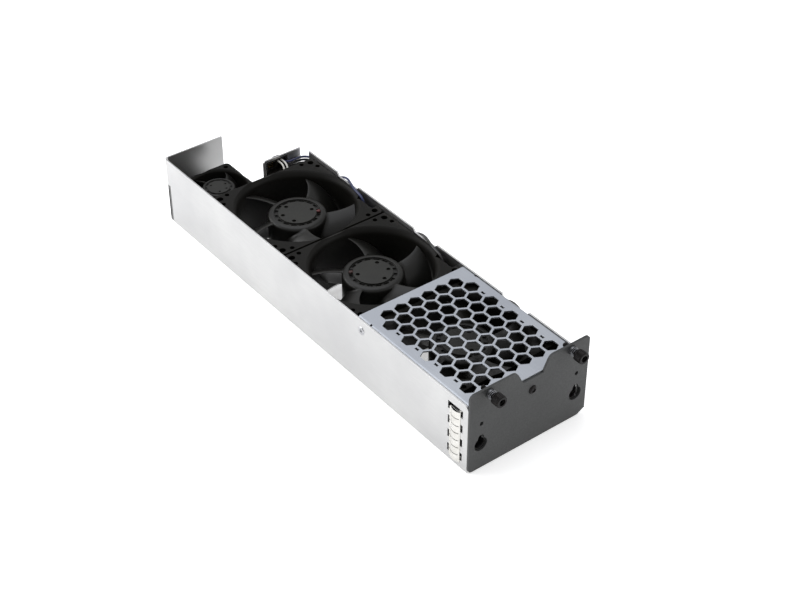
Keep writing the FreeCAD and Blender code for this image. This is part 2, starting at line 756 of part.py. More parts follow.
def thrust_washer(side):
    """Washer between spring and knob; it slides with the screw but does not turn."""
    x = plate_mid + side * screw_half
    end = knob_back() - knob_pocket_depth
    near = V(x, end + washer_fit, screw_z)
    far = V(x, end + washer_fit + washer_t, screw_z)
    return rod(knob_pocket_r - washer_fit, near, far).cut(rod(screw_r + washer_fit, near, far))


def screw_spring(side):
    """Coil spring from the ferrule's front face into the knob."""
    x = plate_mid + side * screw_half
    start = -plate_t - ferrule_t
    end = knob_back() - knob_pocket_depth + washer_fit + washer_t
    length = start - end - spring_wire
    helix = Part.makeHelix(length / spring_turns, length, spring_r)
    half = spring_wire / 2
    section = Part.makePolygon([V(spring_r - half, 0, -half), V(spring_r + half, 0, -half),
                                V(spring_r + half, 0, half), V(spring_r - half, 0, half),
                                V(spring_r - half, 0, -half)])
    coil = Part.Wire(helix.Edges).makePipeShell([section], True, True)
    coil.rotate(V(0, 0, 0), V(1, 0, 0), 90)
    return coil.translated(V(x, start - half, screw_z))


# ================================================================ finger strip
def emi_finger_strip():
    """Row of bowed spring fingers on one spine, clipped into the wall's window."""
    out = -half_out
    y0 = strip_front
    y1 = y0 + finger_foot
    y2 = y1 + finger_span
    y3 = y2 + finger_foot
    middle = (y1 + y2) / 2
    height = finger_count * finger_pitch - finger_slit
    outer = Part.Arc(V(out - finger_t, y1, 0), V(out - finger_crown, middle, 0), V(out - finger_t, y2, 0))
    inner = Part.Arc(V(out, y2, 0), V(out - finger_crown + finger_t, middle, 0), V(out, y1, 0))
    points = [V(out, y1, 0), V(out, y0, 0), V(out - finger_t, y0, 0), V(out - finger_t, y1, 0)]
    front = [Part.LineSegment(a, b).toShape() for a, b in zip(points, points[1:])]
    points = [V(out - finger_t, y2, 0), V(out - finger_t, y3, 0), V(out, y3, 0), V(out, y2, 0)]
    rear = [Part.LineSegment(a, b).toShape() for a, b in zip(points, points[1:])]
    section = Part.Face(Part.Wire(front + [outer.toShape()] + rear + [inner.toShape()]))
    strip = section.extrude(V(0, 0, height)).translated(V(0, 0, strip_low))
    slits = []
    for i in range(1, finger_count):
        top = strip_low + i * finger_pitch
        slits.append(box(out - 2 * finger_crown, out, y1, y3, top - finger_slit, top))
    strip = strip.cut(slits)
    clips = []
    for low in slot_lows():
        centre = low + window_slot_h / 2
        clips.append(box(out - finger_t, -half_in + clip_t, y0, y0 + clip_t,
                         centre - clip_half_h, centre + clip_half_h))
        clips.append(box(-half_in, -half_in + clip_t, y0, y0 + 2 * finger_foot,
                         centre - clip_half_h, centre + clip_half_h))
    return join([strip] + clips)


# ================================================================ fans
def strut(spec, angle, width, top):
    """Straight rib from the motor base to the duct."""
    rib = box(spec.hub - 2 * spec.hub_wall, spec.bore + spec.wall / 2, -width / 2, width / 2,
              base_lift, top)
    return rib.rotated(V(0, 0, 0), V(0, 0, 1), angle)


def bell_mouth(spec):
    """Cutter that flares the duct's mouth along an arc tangent to its bore."""
    low = spec.depth - spec.mouth_depth
    radius = (spec.mouth ** 2 + spec.mouth_depth ** 2) / (2 * spec.mouth)
    half = math.asin(spec.mouth_depth / radius) / 2
    start = V(spec.bore, 0, low)
    middle = V(spec.bore + radius * (1 - math.cos(half)), 0, low + radius * math.sin(half))
    end = V(spec.bore + spec.mouth, 0, spec.depth)
    corners = [end, V(0, 0, spec.depth), V(0, 0, low), start]
    sides = [Part.LineSegment(a, b).toShape() for a, b in zip(corners, corners[1:])]
    profile = Part.Face(Part.Wire([Part.Arc(start, middle, end).toShape()] + sides))
    return profile.revolve(V(0, 0, 0), V(0, 0, 1), 360)


def fan_frame(spec, side_slot):
    """Moulded frame: duct, square flanges, struts, motor base and bearing tube, base at z = 0."""
    half = spec.size / 2
    square = [(x, y, spec.corner) for x, y in ((-half, -half), (half, -half), (half, half), (-half, half))]
    ears = [prism(square, on_xy, V(0, 0, z), V(0, 0, spec.ear)) for z in (0, spec.depth - spec.ear)]
    duct = disc(spec.bore + spec.wall, 0, spec.depth)
    shell = join([duct] + ears).cut(disc(spec.bore, 0, spec.depth))
    cuts = [bell_mouth(spec)]
    for x, y in four_corners(spec.pitch / 2):
        cuts.append(disc(spec.hole_r, 0, spec.depth, x, y))
    for along, across in spec.pockets:
        for sx, sy in four_corners(1):
            cuts.append(disc(spec.pocket_r, spec.depth - spec.pocket_depth, spec.depth,
                             sx * along, sy * across))
    boss_r = spec.bearing + spec.boss
    parts = [disc(spec.hub - spec.hub_wall, base_lift, base_top),
             disc(boss_r, base_lift, boss_top(spec))]
    parts.append(strut(spec, LEAD_ANGLE, spec.lead_strut, lead_exit_z(spec)))
    parts += [strut(spec, LEAD_ANGLE + 90 * i, spec.strut_w, base_lift + spec.strut_h)
              for i in range(1, 4)]
    well = disc(spec.bearing, base_top, boss_top(spec))
    if side_slot:
        top = spec.depth
        cuts.append(box(half - lead_slot_reach, half, -lead_slot_far, -lead_slot_near, top - spec.ear, top))
    for offset in spec.lead_offsets:
        ends = [strut_point(spec, reach, offset) for reach in (lead_start_r(spec), spec.size)]
        cuts.append(rod(spec.lead_d / 2 + lead_groove_fit, *ends))
    return join([shell] + parts).cut(cuts + [well])


def lead_exit_z(spec):
    """Lead axis above the fan frame's bottom, where the lead lies on the board and in its strut."""
    return spec.lead_seat + lead_fit + spec.lead_d / 2


def lead_start_r(spec):
    """Distance from the fan's axis to a lead's end, under the stator's rim."""
    return spec.hub - spec.hub_wall - spec.yoke - spec.magnet - lead_under


def strut_point(spec, reach, offset):
    """Point over the lead strut, at a distance from the fan's axis and an offset from its middle."""
    place = V(reach, offset, lead_exit_z(spec))
    return FreeCAD.Rotation(V(0, 0, 1), LEAD_ANGLE).multVec(place)


def boss_top(spec):
    """Top of the bearing tube, clear of the steel cup's roof."""
    return spec.hub_top - spec.hub_wall - spec.yoke - rotor_lift


def blade_section(distance, lean, half_chord, low, high, thickness):
    """Cambered section of a blade on a plane at a distance from the axis, turned by lean degrees."""
    lead = V(distance, half_chord, high)
    trail = V(distance, -half_chord, low)
    chord = lead - trail
    back = V(0, -chord.z, chord.y)
    back.normalize()
    middle = trail + chord * 0.5 + back * (blade_camber * chord.Length)
    up = back * (thickness / 2)
    upper = Part.Arc(trail + up, middle + up, lead + up).toShape()
    lower = Part.Arc(lead - up, middle - up, trail - up).toShape()
    nose = Part.LineSegment(lead + up, lead - up).toShape()
    tail = Part.LineSegment(trail - up, trail + up).toShape()
    wire = Part.Wire([upper, nose, lower, tail])
    return wire.rotated(V(0, 0, 0), V(0, 0, 1), lean)


def impeller(spec, turn):
    """Hub with its face disc and groove, and swept blades lofted through three sections."""
    top = spec.hub_top
    roof = top - spec.hub_wall
    inside = spec.hub - spec.hub_wall
    outline = [(0, roof, 0), (0, top, 0), (spec.disc, top, 0), (spec.disc, top - groove_depth, 0),
               (spec.groove, top - groove_depth, 0), (spec.groove, top, 0),
               (spec.hub, top, hub_edge_r if spec.hub - spec.groove > hub_edge_r else spec.hub_wall / 2),
               (spec.hub, spec.hub_base, 0), (inside, spec.hub_base, 0), (inside, roof, 0)]
    hub = Part.Face(rounded_wire(outline, on_xz)).revolve(V(0, 0, 0), V(0, 0, 1), 360)
    dot = disc(spec.dot_r, top - dot_depth, top, spec.dot_circle)
    hub = hub.cut(around(dot, spec.dots))
    root = spec.hub * blade_root_start
    middle = (spec.hub + spec.tip) / 2
    reach = spec.tip * blade_tip_end
    root_high = top - hub_edge_r / 2
    sections = [
        blade_section(root, 0, spec.hub * blade_root_half, spec.low + 2 * blade_low_rise, root_high,
                      blade_root_t),
        blade_section(middle, blade_mid_lean, spec.tip * blade_mid_half, spec.low + blade_low_rise,
                      (root_high + spec.high) / 2, (blade_root_t + blade_tip_t) / 2),
        blade_section(reach, blade_tip_lean, spec.tip * blade_tip_half, spec.low, spec.high, blade_tip_t)]
    blade = Part.makeLoft(sections, True, False).rotated(V(0, 0, 0), V(0, 0, 1), turn)
    zone = ring(spec.tip, spec.hub - spec.hub_wall / 2, spec.low, spec.high)
    blade = blade.common(zone)
    return join([hub] + around(blade, spec.blades))


def rotor_cup(spec):
    """Steel cup pressed into the hub, pierced for the shaft."""
    outer = spec.hub - spec.hub_wall
    roof = spec.hub_top - spec.hub_wall
    cup = disc(outer, spec.hub_base, roof).cut(disc(outer - spec.yoke, spec.hub_base, roof - spec.yoke))
    return cup.cut(disc(spec.shaft, roof - spec.yoke, roof))


def magnet_ring(spec):
    """Ring magnet inside the steel cup."""
    outer = spec.hub - spec.hub_wall - spec.yoke
    top = spec.hub_top - spec.hub_wall - spec.yoke
    return ring(outer, outer - spec.magnet, spec.hub_base, top)


def rotor_shaft(spec):
    """Shaft held by the steel cup and running in the bearings."""
    return disc(spec.shaft, base_top + shaft_end_gap, spec.hub_top - spec.hub_wall)


def fan_bearings(spec):
    """Two ball bearings, drawn as plain rings, in the bearing tube."""
    low = base_top + shaft_end_gap
    high = boss_top(spec) - spec.bearing_h
    return Part.makeCompound([ring(spec.bearing, spec.shaft + shaft_fit, z, z + spec.bearing_h)
                              for z in (low, high)])


def stator(spec):
    """Four-pole lamination stack with its coils, on the bearing tube."""
    outer = spec.hub - spec.hub_wall - spec.yoke - spec.magnet - air_gap
    inner = spec.bearing + spec.boss
    low = base_top + board_t + spec.strut_h / 2
    high = boss_top(spec) - rotor_lift
    depth = outer - inner
    neck = outer * pole_neck
    rim = depth * pole_rim
    shoe = ring(outer, outer - rim, low, high)
    slot = box(outer - 2 * rim, outer + rim, -neck / 2, neck / 2, low, high)
    slots = around(slot.rotated(V(0, 0, 0), V(0, 0, 1), 180 / pole_count), pole_count)
    necks = around(box(inner, outer - rim / 2, -neck, neck, low, high), pole_count)
    core = ring(inner + rim, inner, low, high)
    side = neck * coil_spread
    margin = depth * coil_margin
    coil = box(inner + margin, outer - margin, -side, side, low - rotor_lift, high - rotor_lift)
    return join([shoe.cut(slots), core] + necks + around(coil, pole_count))


def fan_board(spec):
    """Round circuit board on the motor base."""
    return ring(spec.hub - 2 * spec.hub_wall, spec.bearing + spec.boss, base_top, base_top + board_t)


def pan_screws(places, radius, head_r, head_h, length):
    """Pan-head screws driven up through the floor into a fan's lower flange."""
    screws = []
    for x, y in places:
        head = disc(head_r, floor_rise - head_h, floor_rise, x, y)
        shank = disc(radius, floor_rise, floor_rise + length, x, y)
        screws.append(join([head, shank]))
    return screws


# ================================================================ connector and leads
def connector_screw_axes():
    """Ends of the two screw axes below the connector, from the flange's front to the ear's rear."""
    z = connector_z - connector_h / 2 - connector_ear / 2
    axes = []
    for side in (-1, 1):
        x = connector_x + side * connector_screw_half
        axes.append((V(x, flange_y - 2 * sheet, z), V(x, flange_y + sheet + connector_ear_t, z)))
    return axes


def contact_places():
    """X and Z of each contact."""
    return [(connector_x + (c - (contact_cols - 1) / 2) * contact_pitch,
             connector_z + (r - (contact_rows - 1) / 2) * contact_pitch)
            for c in range(contact_cols) for r in range(contact_rows)]


def connector_housing():
    """Moulded housing through the flange: open at the leads' side, a web, and a hollow mating face."""
    half_w = connector_w / 2
    half_h = connector_h / 2
    front_y = flange_y - connector_front
    rear_y = flange_y + sheet
    web_rear = connector_web_y + connector_web
    end_y = web_rear + connector_mouth
    body = box(connector_x - half_w, connector_x + half_w, front_y, end_y,
               connector_z - half_h, connector_z + half_h)
    ear = box(connector_x - half_w, connector_x + half_w, rear_y, rear_y + connector_ear_t,
              connector_z - half_h - connector_ear, connector_z - half_h)
    wall = connector_wall
    cuts = [box(connector_x - half_w + wall, connector_x + half_w - wall, y0, y1,
                connector_z - half_h + wall, connector_z + half_h - wall)
            for y0, y1 in ((front_y, connector_web_y), (web_rear, end_y))]
    cuts.append(box(connector_x + half_w - wall, connector_x + half_w, front_y, flange_y,
                    connector_z - half_h + wall, connector_z + half_h - wall))
    half = contact_w / 2
    for x, z in contact_places():
        cuts.append(box(x - half, x + half, connector_web_y, web_rear, z - half, z + half))
    for start, end in connector_screw_axes():
        cuts.append(rod(connector_screw_r, start, end))
    for points in [small_lead_points(i) for i in range(2)]:
        cuts.append(rod(small_lead_d / 2 + lead_fit, points[0], points[1]))
    for points in [lead_points(i) for i in range(fan_count)]:
        cuts.append(rod(lead_d / 2 + lead_fit, points[-1], points[-1] - V(0, connector_web, 0)))
    return join([body, ear]).cut(cuts)


def connector_contacts():
    """Square contacts through the housing's web."""
    half = contact_w / 2
    start = connector_web_y - contact_tail
    end = connector_web_y + connector_web + contact_pin
    return Part.makeCompound([box(x - half, x + half, start, end, z - half, z + half)
                              for x, z in contact_places()])


def connector_screws():
    """Two screws that hold the housing's ear to the flange."""
    screws = []
    for start, end in connector_screw_axes():
        face = V(start.x, flange_y, start.z)
        head = rod(connector_head_r, face - V(0, connector_head_h, 0), face)
        shank = rod(connector_screw_r, face, V(end.x, flange_y + connector_screw_length, end.z))
        screws.append(join([head, shank]))
    return Part.makeCompound(screws)


def lead_entry(index):
    """Where a large fan's lead turns before the flange, to go in at the housing's right."""
    z = lead_top_z - (fan_count - 1 - index) * lead_step
    y = flange_y - connector_front - 2 * lead_fit - lead_d / 2
    return V(connector_x + connector_w / 2 - connector_wall - lead_d, y, z)


def tube(points, diameter, name):
    """Round lead along straight runs joined by tangent arcs, as large as the runs allow."""
    edges = []
    cursor = points[0]
    radii = []
    for before, corner, after in zip(points, points[1:], points[2:]):
        back = before - corner
        ahead = after - corner
        half = back.getAngle(ahead) / 2
        trim = lead_trim * min(back.Length, ahead.Length)
        radius = trim * math.tan(half)
        radii.append(radius)
        back.normalize()
        ahead.normalize()
        inward = back + ahead
        inward.normalize()
        start = corner + back * trim
        end = corner + ahead * trim
        middle = corner + inward * (radius / math.sin(half) - radius)
        edges.append(Part.LineSegment(cursor, start).toShape())
        edges.append(Part.Arc(start, middle, end).toShape())
        cursor = end
    edges.append(Part.LineSegment(cursor, points[-1]).toShape())
    path = Part.Wire(edges)
    section = Part.Wire(Part.makeCircle(diameter / 2, points[0], points[1] - points[0]))
    solid = path.makePipe(Part.Face(section))
    expected = math.pi * diameter ** 2 / 4 * path.Length
    print(name, "length %.1f mm," % path.Length, "radii", ", ".join("%.1f" % r for r in radii),
          "volume ratio %.4f" % (solid.Volume / expected))
    return solid


def lead_points(index):
    """Route of a large fan's lead: board, strut, corner, over the wall, along it, into the web."""
    y = fan_ys[index]
    base = V(0, y, floor_top)
    start = strut_point(big, lead_start_r(big), 0) + base
    corner = strut_point(big, lead_corner_r, 0) + base
    over = fan_top + lead_d / 2 + lead_fit
    depth = covered_recess_depth if index == 0 else recess_depth
    crossing = box_height - depth + lead_d / 2 + 3 * lead_fit
    outside = half_out + lead_lane + lead_d / 2
    entry = lead_entry(index)
    return [start, corner,
            V(lead_rise_x, y - lead_rise_y, corner.z + lead_lift),
            V(lead_rise_x, y - lead_slot_near - lead_slot_before, over),
            V(lead_rise_x + lead_cross_shift, y - lead_cross_start, crossing),
            V(outside, y + lead_cross_end, crossing),
            V(outside, y + lead_cross_end + lead_descent * (crossing - entry.z), entry.z),
            V(outside, entry.y, entry.z),
            entry,
            V(entry.x, connector_web_y + connector_web / 2, entry.z)]


def small_lead_xs():
    """X of the small fan's two leads at the connector."""
    return [connector_x + (i + 0.5) * contact_pitch for i in range(2)]


def small_lead_z():
    """Z of the small fan's two leads at the connector."""
    return connector_z + small_lead_rise


def small_lead_points(index):
    """Route of one small lead: out of the connector, down behind the partition, along the strut."""
    x = small_lead_xs()[index]
    behind = last_partition_rear + small_lead_d / 2 + lead_fit
    base = V(small_x, small_y, floor_top)
    offset = small.lead_offsets[index]
    start = strut_point(small, lead_start_r(small), offset) + base
    onward = strut_point(small, small_size, offset) + base
    share = (start.y - behind) / (start.y - onward.y)
    return [V(x, connector_web_y + connector_web / 2, small_lead_z()),
            V(x, behind, small_lead_z()),
            start + (onward - start) * share,
            start]


def lead_clips():
    """Three clips on the right wall's outer face that hold the leads against it."""
    clips = []
    span = lead_lane + lead_d + lead_fit
    top = lead_top_z + lead_d / 2 + lead_fit
    low = top - 2 * lead_step - lead_d - 2 * lead_fit
    for y in clip_ys():
        base = box(half_out, half_out + span + clip_base_t, y - clip_w / 2, y + clip_w / 2,
                   low - clip_foot, top + clip_base_t)
        hollow = box(half_out, half_out + span, y - clip_w / 2, y + clip_w / 2, low, top)
        clips.append(base.cut(hollow))
    return Part.makeCompound(clips)


def clip_ys():
    """Y of the lead clips: behind each large fan's middle."""
    return [y + fan_size / 2 - clip_w for y in fan_ys]


# ================================================================ assembly
def at(shape, x, y):
    """Shape set on the floor at a fan's place."""
    return shape.translated(V(x, y, floor_top))


def build():
    """Every node's shape by name."""
    nodes = {
        "left_wall": left_wall(),
        "right_wall": right_wall(),
        "floor_pan": floor_pan(),
        "top_grille": top_grille(),
        "cover_rivets": cover_rivets(),
        "front_plate": front_plate(),
        "centre_screw": centre_screw(),
        "screw_ferrules": screw_ferrules(),
        "emi_finger_strip": emi_finger_strip(),
        "connector_housing": connector_housing(),
        "connector_contacts": connector_contacts(),
        "connector_screws": connector_screws(),
        "lead_clips": lead_clips(),
    }
    for side, name in ((-1, "left"), (1, "right")):
        nodes["thumbscrew_" + name] = thumbscrew(side)
        nodes["thrust_washer_" + name] = thrust_washer(side)
        nodes["screw_spring_" + name] = screw_spring(side)
    pieces = {
        "fan_frame": fan_frame(big, True),
        "rotor_cup": rotor_cup(big),
        "magnet_ring": magnet_ring(big),
        "rotor_shaft": rotor_shaft(big),
        "fan_bearings": fan_bearings(big),
        "fan_stator": stator(big),
        "fan_board": fan_board(big),
    }
    screws = []
    for i, y in enumerate(fan_ys):
        number = "_%d" % (i + 1)
        nodes["fan_partition" + number] = fan_partition(i)
        nodes["impeller" + number] = at(impeller(big, fan_blade_turns[i]), 0, y)
        for name, shape in pieces.items():
            nodes[name + number] = at(shape, 0, y)
        nodes["fan_lead" + number] = tube(lead_points(i), lead_d, "fan_lead" + number)
        screws += pan_screws(screw_places(big, 0, y), fan_screw_r, fan_screw_head_r,
                             fan_screw_head_h, fan_screw_length)
    nodes["fan_screws"] = Part.makeCompound(screws)
    small_pieces = {
        "small_fan_frame": fan_frame(small, False),
        "small_impeller": impeller(small, 0),
        "small_rotor_cup": rotor_cup(small),
        "small_magnet_ring": magnet_ring(small),
        "small_rotor_shaft": rotor_shaft(small),
        "small_fan_bearings": fan_bearings(small),
        "small_fan_stator": stator(small),
    }
    for name, shape in small_pieces.items():
        nodes[name] = at(shape, small_x, small_y)
    nodes["small_fan_screws"] = Part.makeCompound(
        pan_screws(screw_places(small, small_x, small_y), small_screw_r, small_screw_head_r,
                   small_screw_head_h, small_screw_length))
    nodes["small_fan_leads"] = Part.makeCompound(
        [tube(small_lead_points(i), small_lead_d, "small_fan_lead_%d" % (i + 1)) for i in range(2)])
    return nodes


os.makedirs("parts", exist_ok=True)
for node, solid in build().items():
    solid.exportStep("parts/" + node + ".step")
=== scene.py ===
"""Looks for a server fan module: a plated sheet tray with three large axial fans and a small one.

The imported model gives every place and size. This script gives each of its nodes a finish, puts
finer pieces where screws, springs and the like are plain in it, and sets up a pale studio.
"""

import logging
import math
from collections.abc import Sequence
from dataclasses import dataclass, field, replace
from enum import Enum
from functools import cache

import bmesh
import bpy
from mathutils import Euler, Matrix, Vector, noise


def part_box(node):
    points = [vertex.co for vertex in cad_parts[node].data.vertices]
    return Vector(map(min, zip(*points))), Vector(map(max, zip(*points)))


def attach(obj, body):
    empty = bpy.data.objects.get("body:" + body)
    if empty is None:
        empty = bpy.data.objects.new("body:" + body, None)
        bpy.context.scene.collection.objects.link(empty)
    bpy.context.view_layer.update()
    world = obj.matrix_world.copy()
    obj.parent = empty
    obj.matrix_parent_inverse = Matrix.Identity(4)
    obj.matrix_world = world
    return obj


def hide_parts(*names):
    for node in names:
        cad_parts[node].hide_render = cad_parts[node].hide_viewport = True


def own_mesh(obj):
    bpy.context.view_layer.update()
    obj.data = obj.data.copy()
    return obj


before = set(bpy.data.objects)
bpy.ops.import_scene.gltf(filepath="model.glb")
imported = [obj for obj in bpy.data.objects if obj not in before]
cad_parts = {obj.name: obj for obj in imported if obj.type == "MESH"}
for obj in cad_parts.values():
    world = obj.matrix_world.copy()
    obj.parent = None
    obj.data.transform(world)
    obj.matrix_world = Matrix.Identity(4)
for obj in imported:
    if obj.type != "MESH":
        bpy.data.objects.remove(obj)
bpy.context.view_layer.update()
LOG = logging.getLogger("fan_module")
MM = 0.001
SAME = 1e-7     # points nearer than this are one
TRAY = "tray"
LARGE_FANS = (1, 2, 3)
SIDES = ("left", "right")
# Inputs of a colour mix, its result, and the part of a noise's range that holds nearly all of it.
MIX_FROM, MIX_TO, MIXED = 6, 7, 2
NOISE_LOW, NOISE_HIGH = 0.3, 0.7
# How far the eased normal may turn from the true one before an edge starts and ends to wear, as
# cosines, and how much of the edge's colour shows then.
WEAR_FROM, WEAR_TO, WEAR_SHARE = 0.995, 0.90, 0.8
CUT = {"operation": "DIFFERENCE", "solver": "EXACT"}
Socket = bpy.types.NodeSocket


# ---------------------------------------------------------------- nodes and colours
def linear(code: str) -> tuple[float, float, float, float]:
    """Turn an sRGB hex colour to the linear colour that a shader takes.

    Args:
        code: Six hex digits, with or without a leading hash.

    Returns:
        Linear red, green and blue, with an alpha of one.
    """
    digits = code.lstrip("#")
    parts = [int(digits[i:i + 2], 16) / 255 for i in (0, 2, 4)]
    return tuple(p / 12.92 if p <= 0.04045 else ((p + 0.055) / 1.055) ** 2.4 for p in parts) + (1.0,)


def add_node(tree: bpy.types.NodeTree, kind: str, inputs: dict | None = None,
             **settings: object) -> bpy.types.Node:
    """Add one node with its settings and inputs.

    Args:
        tree: The node tree that gets the node.
        kind: The node's type name.
        inputs: Input name or index to a fixed value, to the socket that feeds it, or to a list of
            sockets where it takes several.
        settings: Properties of the node itself.

    Returns:
        The new node.
    """
    made = tree.nodes.new(kind)
    for name, value in settings.items():
        setattr(made, name, value)
    for name, given in (inputs or {}).items():
        for source in given if isinstance(given, list) else [given]:
            if isinstance(source, Socket):
                tree.links.new(source, made.inputs[name])
            else:
                made.inputs[name].default_value = source
    return made


# ---------------------------------------------------------------- finishes
@dataclass(frozen=True)
class Finish:
    """A surface: two close colours in soft clouds, a grain that is seen and felt, and eased edges.

    Sizes are in millimetres. The clouds are stains and plating drift, the grain is what the making
    leaves, stretched along the axis with the largest stretch. A painted shade box, given by two
    corners in the module, is painted shade: inside it the surface is a flat dark colour, not metal.
    """

    name: str
    colour: str
    shade: str
    metallic: float = 0.0
    roughness: float = 0.5
    roughness_spread: float = 0.06
    cloud_mm: float = 25.0
    grain_mm: float = 0.6
    stretch: tuple[float, float, float] = (1.0, 1.0, 1.0)
    grain_depth_mm: float = 0.01
    grain_tone: float = 0.25
    edge_mm: float = 0.15
    edge_colour: str | None = None
    ior: float = 1.5
    gloss: float = 0.5
    # A box of painted shade, and its flat dark colour.
    painted_shade_box: tuple[tuple[float, float, float], tuple[float, float, float]] | None = None
    painted_shade_colour: str = "#141413"

    @cache
    def material(self) -> bpy.types.Material:
        """Give the material, made on its first use.

        Returns:
            The material, with all its nodes.
        """
        made = bpy.data.materials.new(self.name)
        made.use_nodes = True
        tree = made.node_tree
        shader = tree.nodes["Principled BSDF"]
        place = add_node(tree, "ShaderNodeTexCoord").outputs["Object"]
        drawn = add_node(tree, "ShaderNodeMapping",
                         {"Scale": tuple(1.0 / s for s in self.stretch), "Vector": place}).outputs[0]
        cloud, grain = (
            add_node(tree, "ShaderNodeTexNoise",
                     {"Scale": 1.0 / (size * MM), "Detail": detail, "Vector": spot}).outputs["Fac"]
            for size, detail, spot in ((self.cloud_mm, 3.0, place), (self.grain_mm, 2.0, drawn)))
        smoothest, roughest = self.roughness - self.roughness_spread, self.roughness + self.roughness_spread
        drift, tone, rough = (
            add_node(tree, "ShaderNodeMapRange",
                     {"From Min": NOISE_LOW, "From Max": NOISE_HIGH, "To Min": low, "To Max": high,
                      "Value": pattern}).outputs["Result"]
            for pattern, low, high in ((cloud, 0.0, 1.0), (grain, 0.0, self.grain_tone),
                                       (grain, smoothest, roughest)))
        eased = add_node(tree, "ShaderNodeBevel", {"Radius": self.edge_mm * MM}, samples=4).outputs["Normal"]
        layers = [(drift, self.shade), (tone, self.shade)]
        if self.edge_colour:
            layers.append((self.worn(tree, eased), self.edge_colour))
        colour = linear(self.colour)
        for mask, over in layers:
            colour = add_node(tree, "ShaderNodeMix", {0: mask, MIX_FROM: colour, MIX_TO: linear(over)},
                              data_type="RGBA").outputs[MIXED]
        # Painted shade: inside the box the colour turns flat dark and the surface stops being metal.
        if self.painted_shade_box:
            unshaded = self.outside_painted_shade(tree, place)
            colour = add_node(tree, "ShaderNodeMix", {0: unshaded, MIX_FROM: linear(self.painted_shade_colour),
                                                      MIX_TO: colour}, data_type="RGBA").outputs[MIXED]
            tree.links.new(unshaded, shader.inputs["Metallic"])
        bump = add_node(tree, "ShaderNodeBump", {"Strength": 1.0, "Distance": self.grain_depth_mm * MM,
                                                 "Height": grain, "Normal": eased})
        shader.inputs["Metallic"].default_value = self.metallic
        for name, socket in (("Base Color", colour), ("Roughness", rough), ("Normal", bump.outputs[0])):
            tree.links.new(socket, shader.inputs[name])
        if self.metallic < 0.5:
            shader.inputs["IOR"].default_value = self.ior
            shader.inputs["Specular IOR Level"].default_value = self.gloss
        return made

    def worn(self, tree: bpy.types.NodeTree, eased: Socket) -> Socket:
        """Find the edges, where the eased normal leaves the true one.

        Args:
            tree: The material's node tree.
            eased: The normal rounded over at the edges.

        Returns:
            How much the edge's colour shows.
        """
        plain = add_node(tree, "ShaderNodeNewGeometry").outputs["Normal"]
        facing = add_node(tree, "ShaderNodeVectorMath", {0: plain, 1: eased}, operation="DOT_PRODUCT")
        return add_node(tree, "ShaderNodeMapRange",
                        {"From Min": WEAR_FROM, "From Max": WEAR_TO, "To Min": 0.0, "To Max": WEAR_SHARE,
                         "Value": facing.outputs["Value"]}).outputs["Result"]

    def outside_painted_shade(self, tree: bpy.types.NodeTree, place: Socket) -> Socket:
        """Tell the surface outside the painted shade box from that inside it.

        Args:
            tree: The material's node tree.
            place: Where the surface lies in the module.

        Returns:
            One outside the painted shade box and none inside it.
        """
        low, high = (Vector(corner) * MM for corner in self.painted_shade_box)
        away = place
        for operation, inputs in (("SUBTRACT", {1: (low + high) / 2}), ("ABSOLUTE", {}),
                                  ("DIVIDE", {1: (high - low) / 2})):
            away = add_node(tree, "ShaderNodeVectorMath", {0: away} | inputs, operation=operation).outputs[0]
        parts = add_node(tree, "ShaderNodeSeparateXYZ", {0: away}).outputs
        most = parts[0]
        for part in parts[1:]:
            most = add_node(tree, "ShaderNodeMath", {0: most, 1: part}, operation="MAXIMUM").outputs[0]
        return add_node(tree, "ShaderNodeMath", {0: most, 1: 1.0}, operation="GREATER_THAN").outputs[0]


# Electro-zinc-plated cold-rolled steel: satin, pale, with faint rolling lines along the sheet
# and a slow drift in the plating's tone.
ZINC_PLATED_SHEET = Finish("zinc_plated_sheet", "#c8c8c7", "#bababa", metallic=1.0, roughness=0.35,
                           roughness_spread=0.05, cloud_mm=45.0, grain_mm=0.35, stretch=(1.0, 26.0, 1.0),
                           grain_depth_mm=0.0010, grain_tone=0.30, edge_mm=0.18, edge_colour="#dcdcdd")
# Painted shade: the floor pan and the right wall are flat near black behind the face plate, where the
# keyholes show the dark inside.
PAN_PAINTED_SHADE_SHEET = replace(ZINC_PLATED_SHEET, name="zinc_plated_pan_painted_shade_front",
                           painted_shade_box=((-40.0, -1.0, -1.0), (40.0, 14.0, 50.0)))
RIGHT_WALL_PAINTED_SHADE_SHEET = replace(ZINC_PLATED_SHEET, name="zinc_plated_wall_painted_shade_front",
                            painted_shade_box=((39.0, -1.0, -1.0), (43.0, 0.8, 50.0)))
# Painted shade: the left wall is flat dark grey round its relief slot at the rear bend, where the slot shows
# the dark inside.
LEFT_WALL_PAINTED_SHADE_SHEET = replace(ZINC_PLATED_SHEET, name="zinc_plated_wall_painted_shade_slot",
                             painted_shade_box=((-43.0, 314.0, 0.6), (-36.5, 319.6, 28.4)), painted_shade_colour="#3c3c3b")
# The cover is the same plated sheet, rougher, painted a bluer and darker grey: painted shade and reflection
# of the room above it.
COVER_PAINTED_SHADE_SHEET = replace(ZINC_PLATED_SHEET, name="zinc_plated_cover_painted_shade", colour="#b0b4b9",
                           shade="#a1a5ac", roughness=0.5, edge_colour="#cdd0d4")
# Painted shade: the fan partitions are coloured near black for the shaded gaps between the fans; soft, with a
# fine grain.
PARTITION_PAINTED_SHADE_SHEET = Finish("partition_sheet_painted_shade", "#1d1b18", "#141311", roughness=0.6, cloud_mm=12.0,
                          grain_mm=0.25, grain_depth_mm=0.004, grain_tone=0.5, edge_mm=0.1,
                          edge_colour="#35322d", gloss=0.25)
# Polyester powder coat, stoved: dark grey, fine orange peel, thinner and paler on the sheared edges.
POWDER_COAT = Finish("powder_coat_dark_grey", "#333434", "#2a2b2b", roughness=0.48, roughness_spread=0.06,
                     cloud_mm=40.0, grain_mm=0.9, grain_depth_mm=0.012, grain_tone=0.3, edge_mm=0.22,
                     edge_colour="#4b4d4e", gloss=0.4)
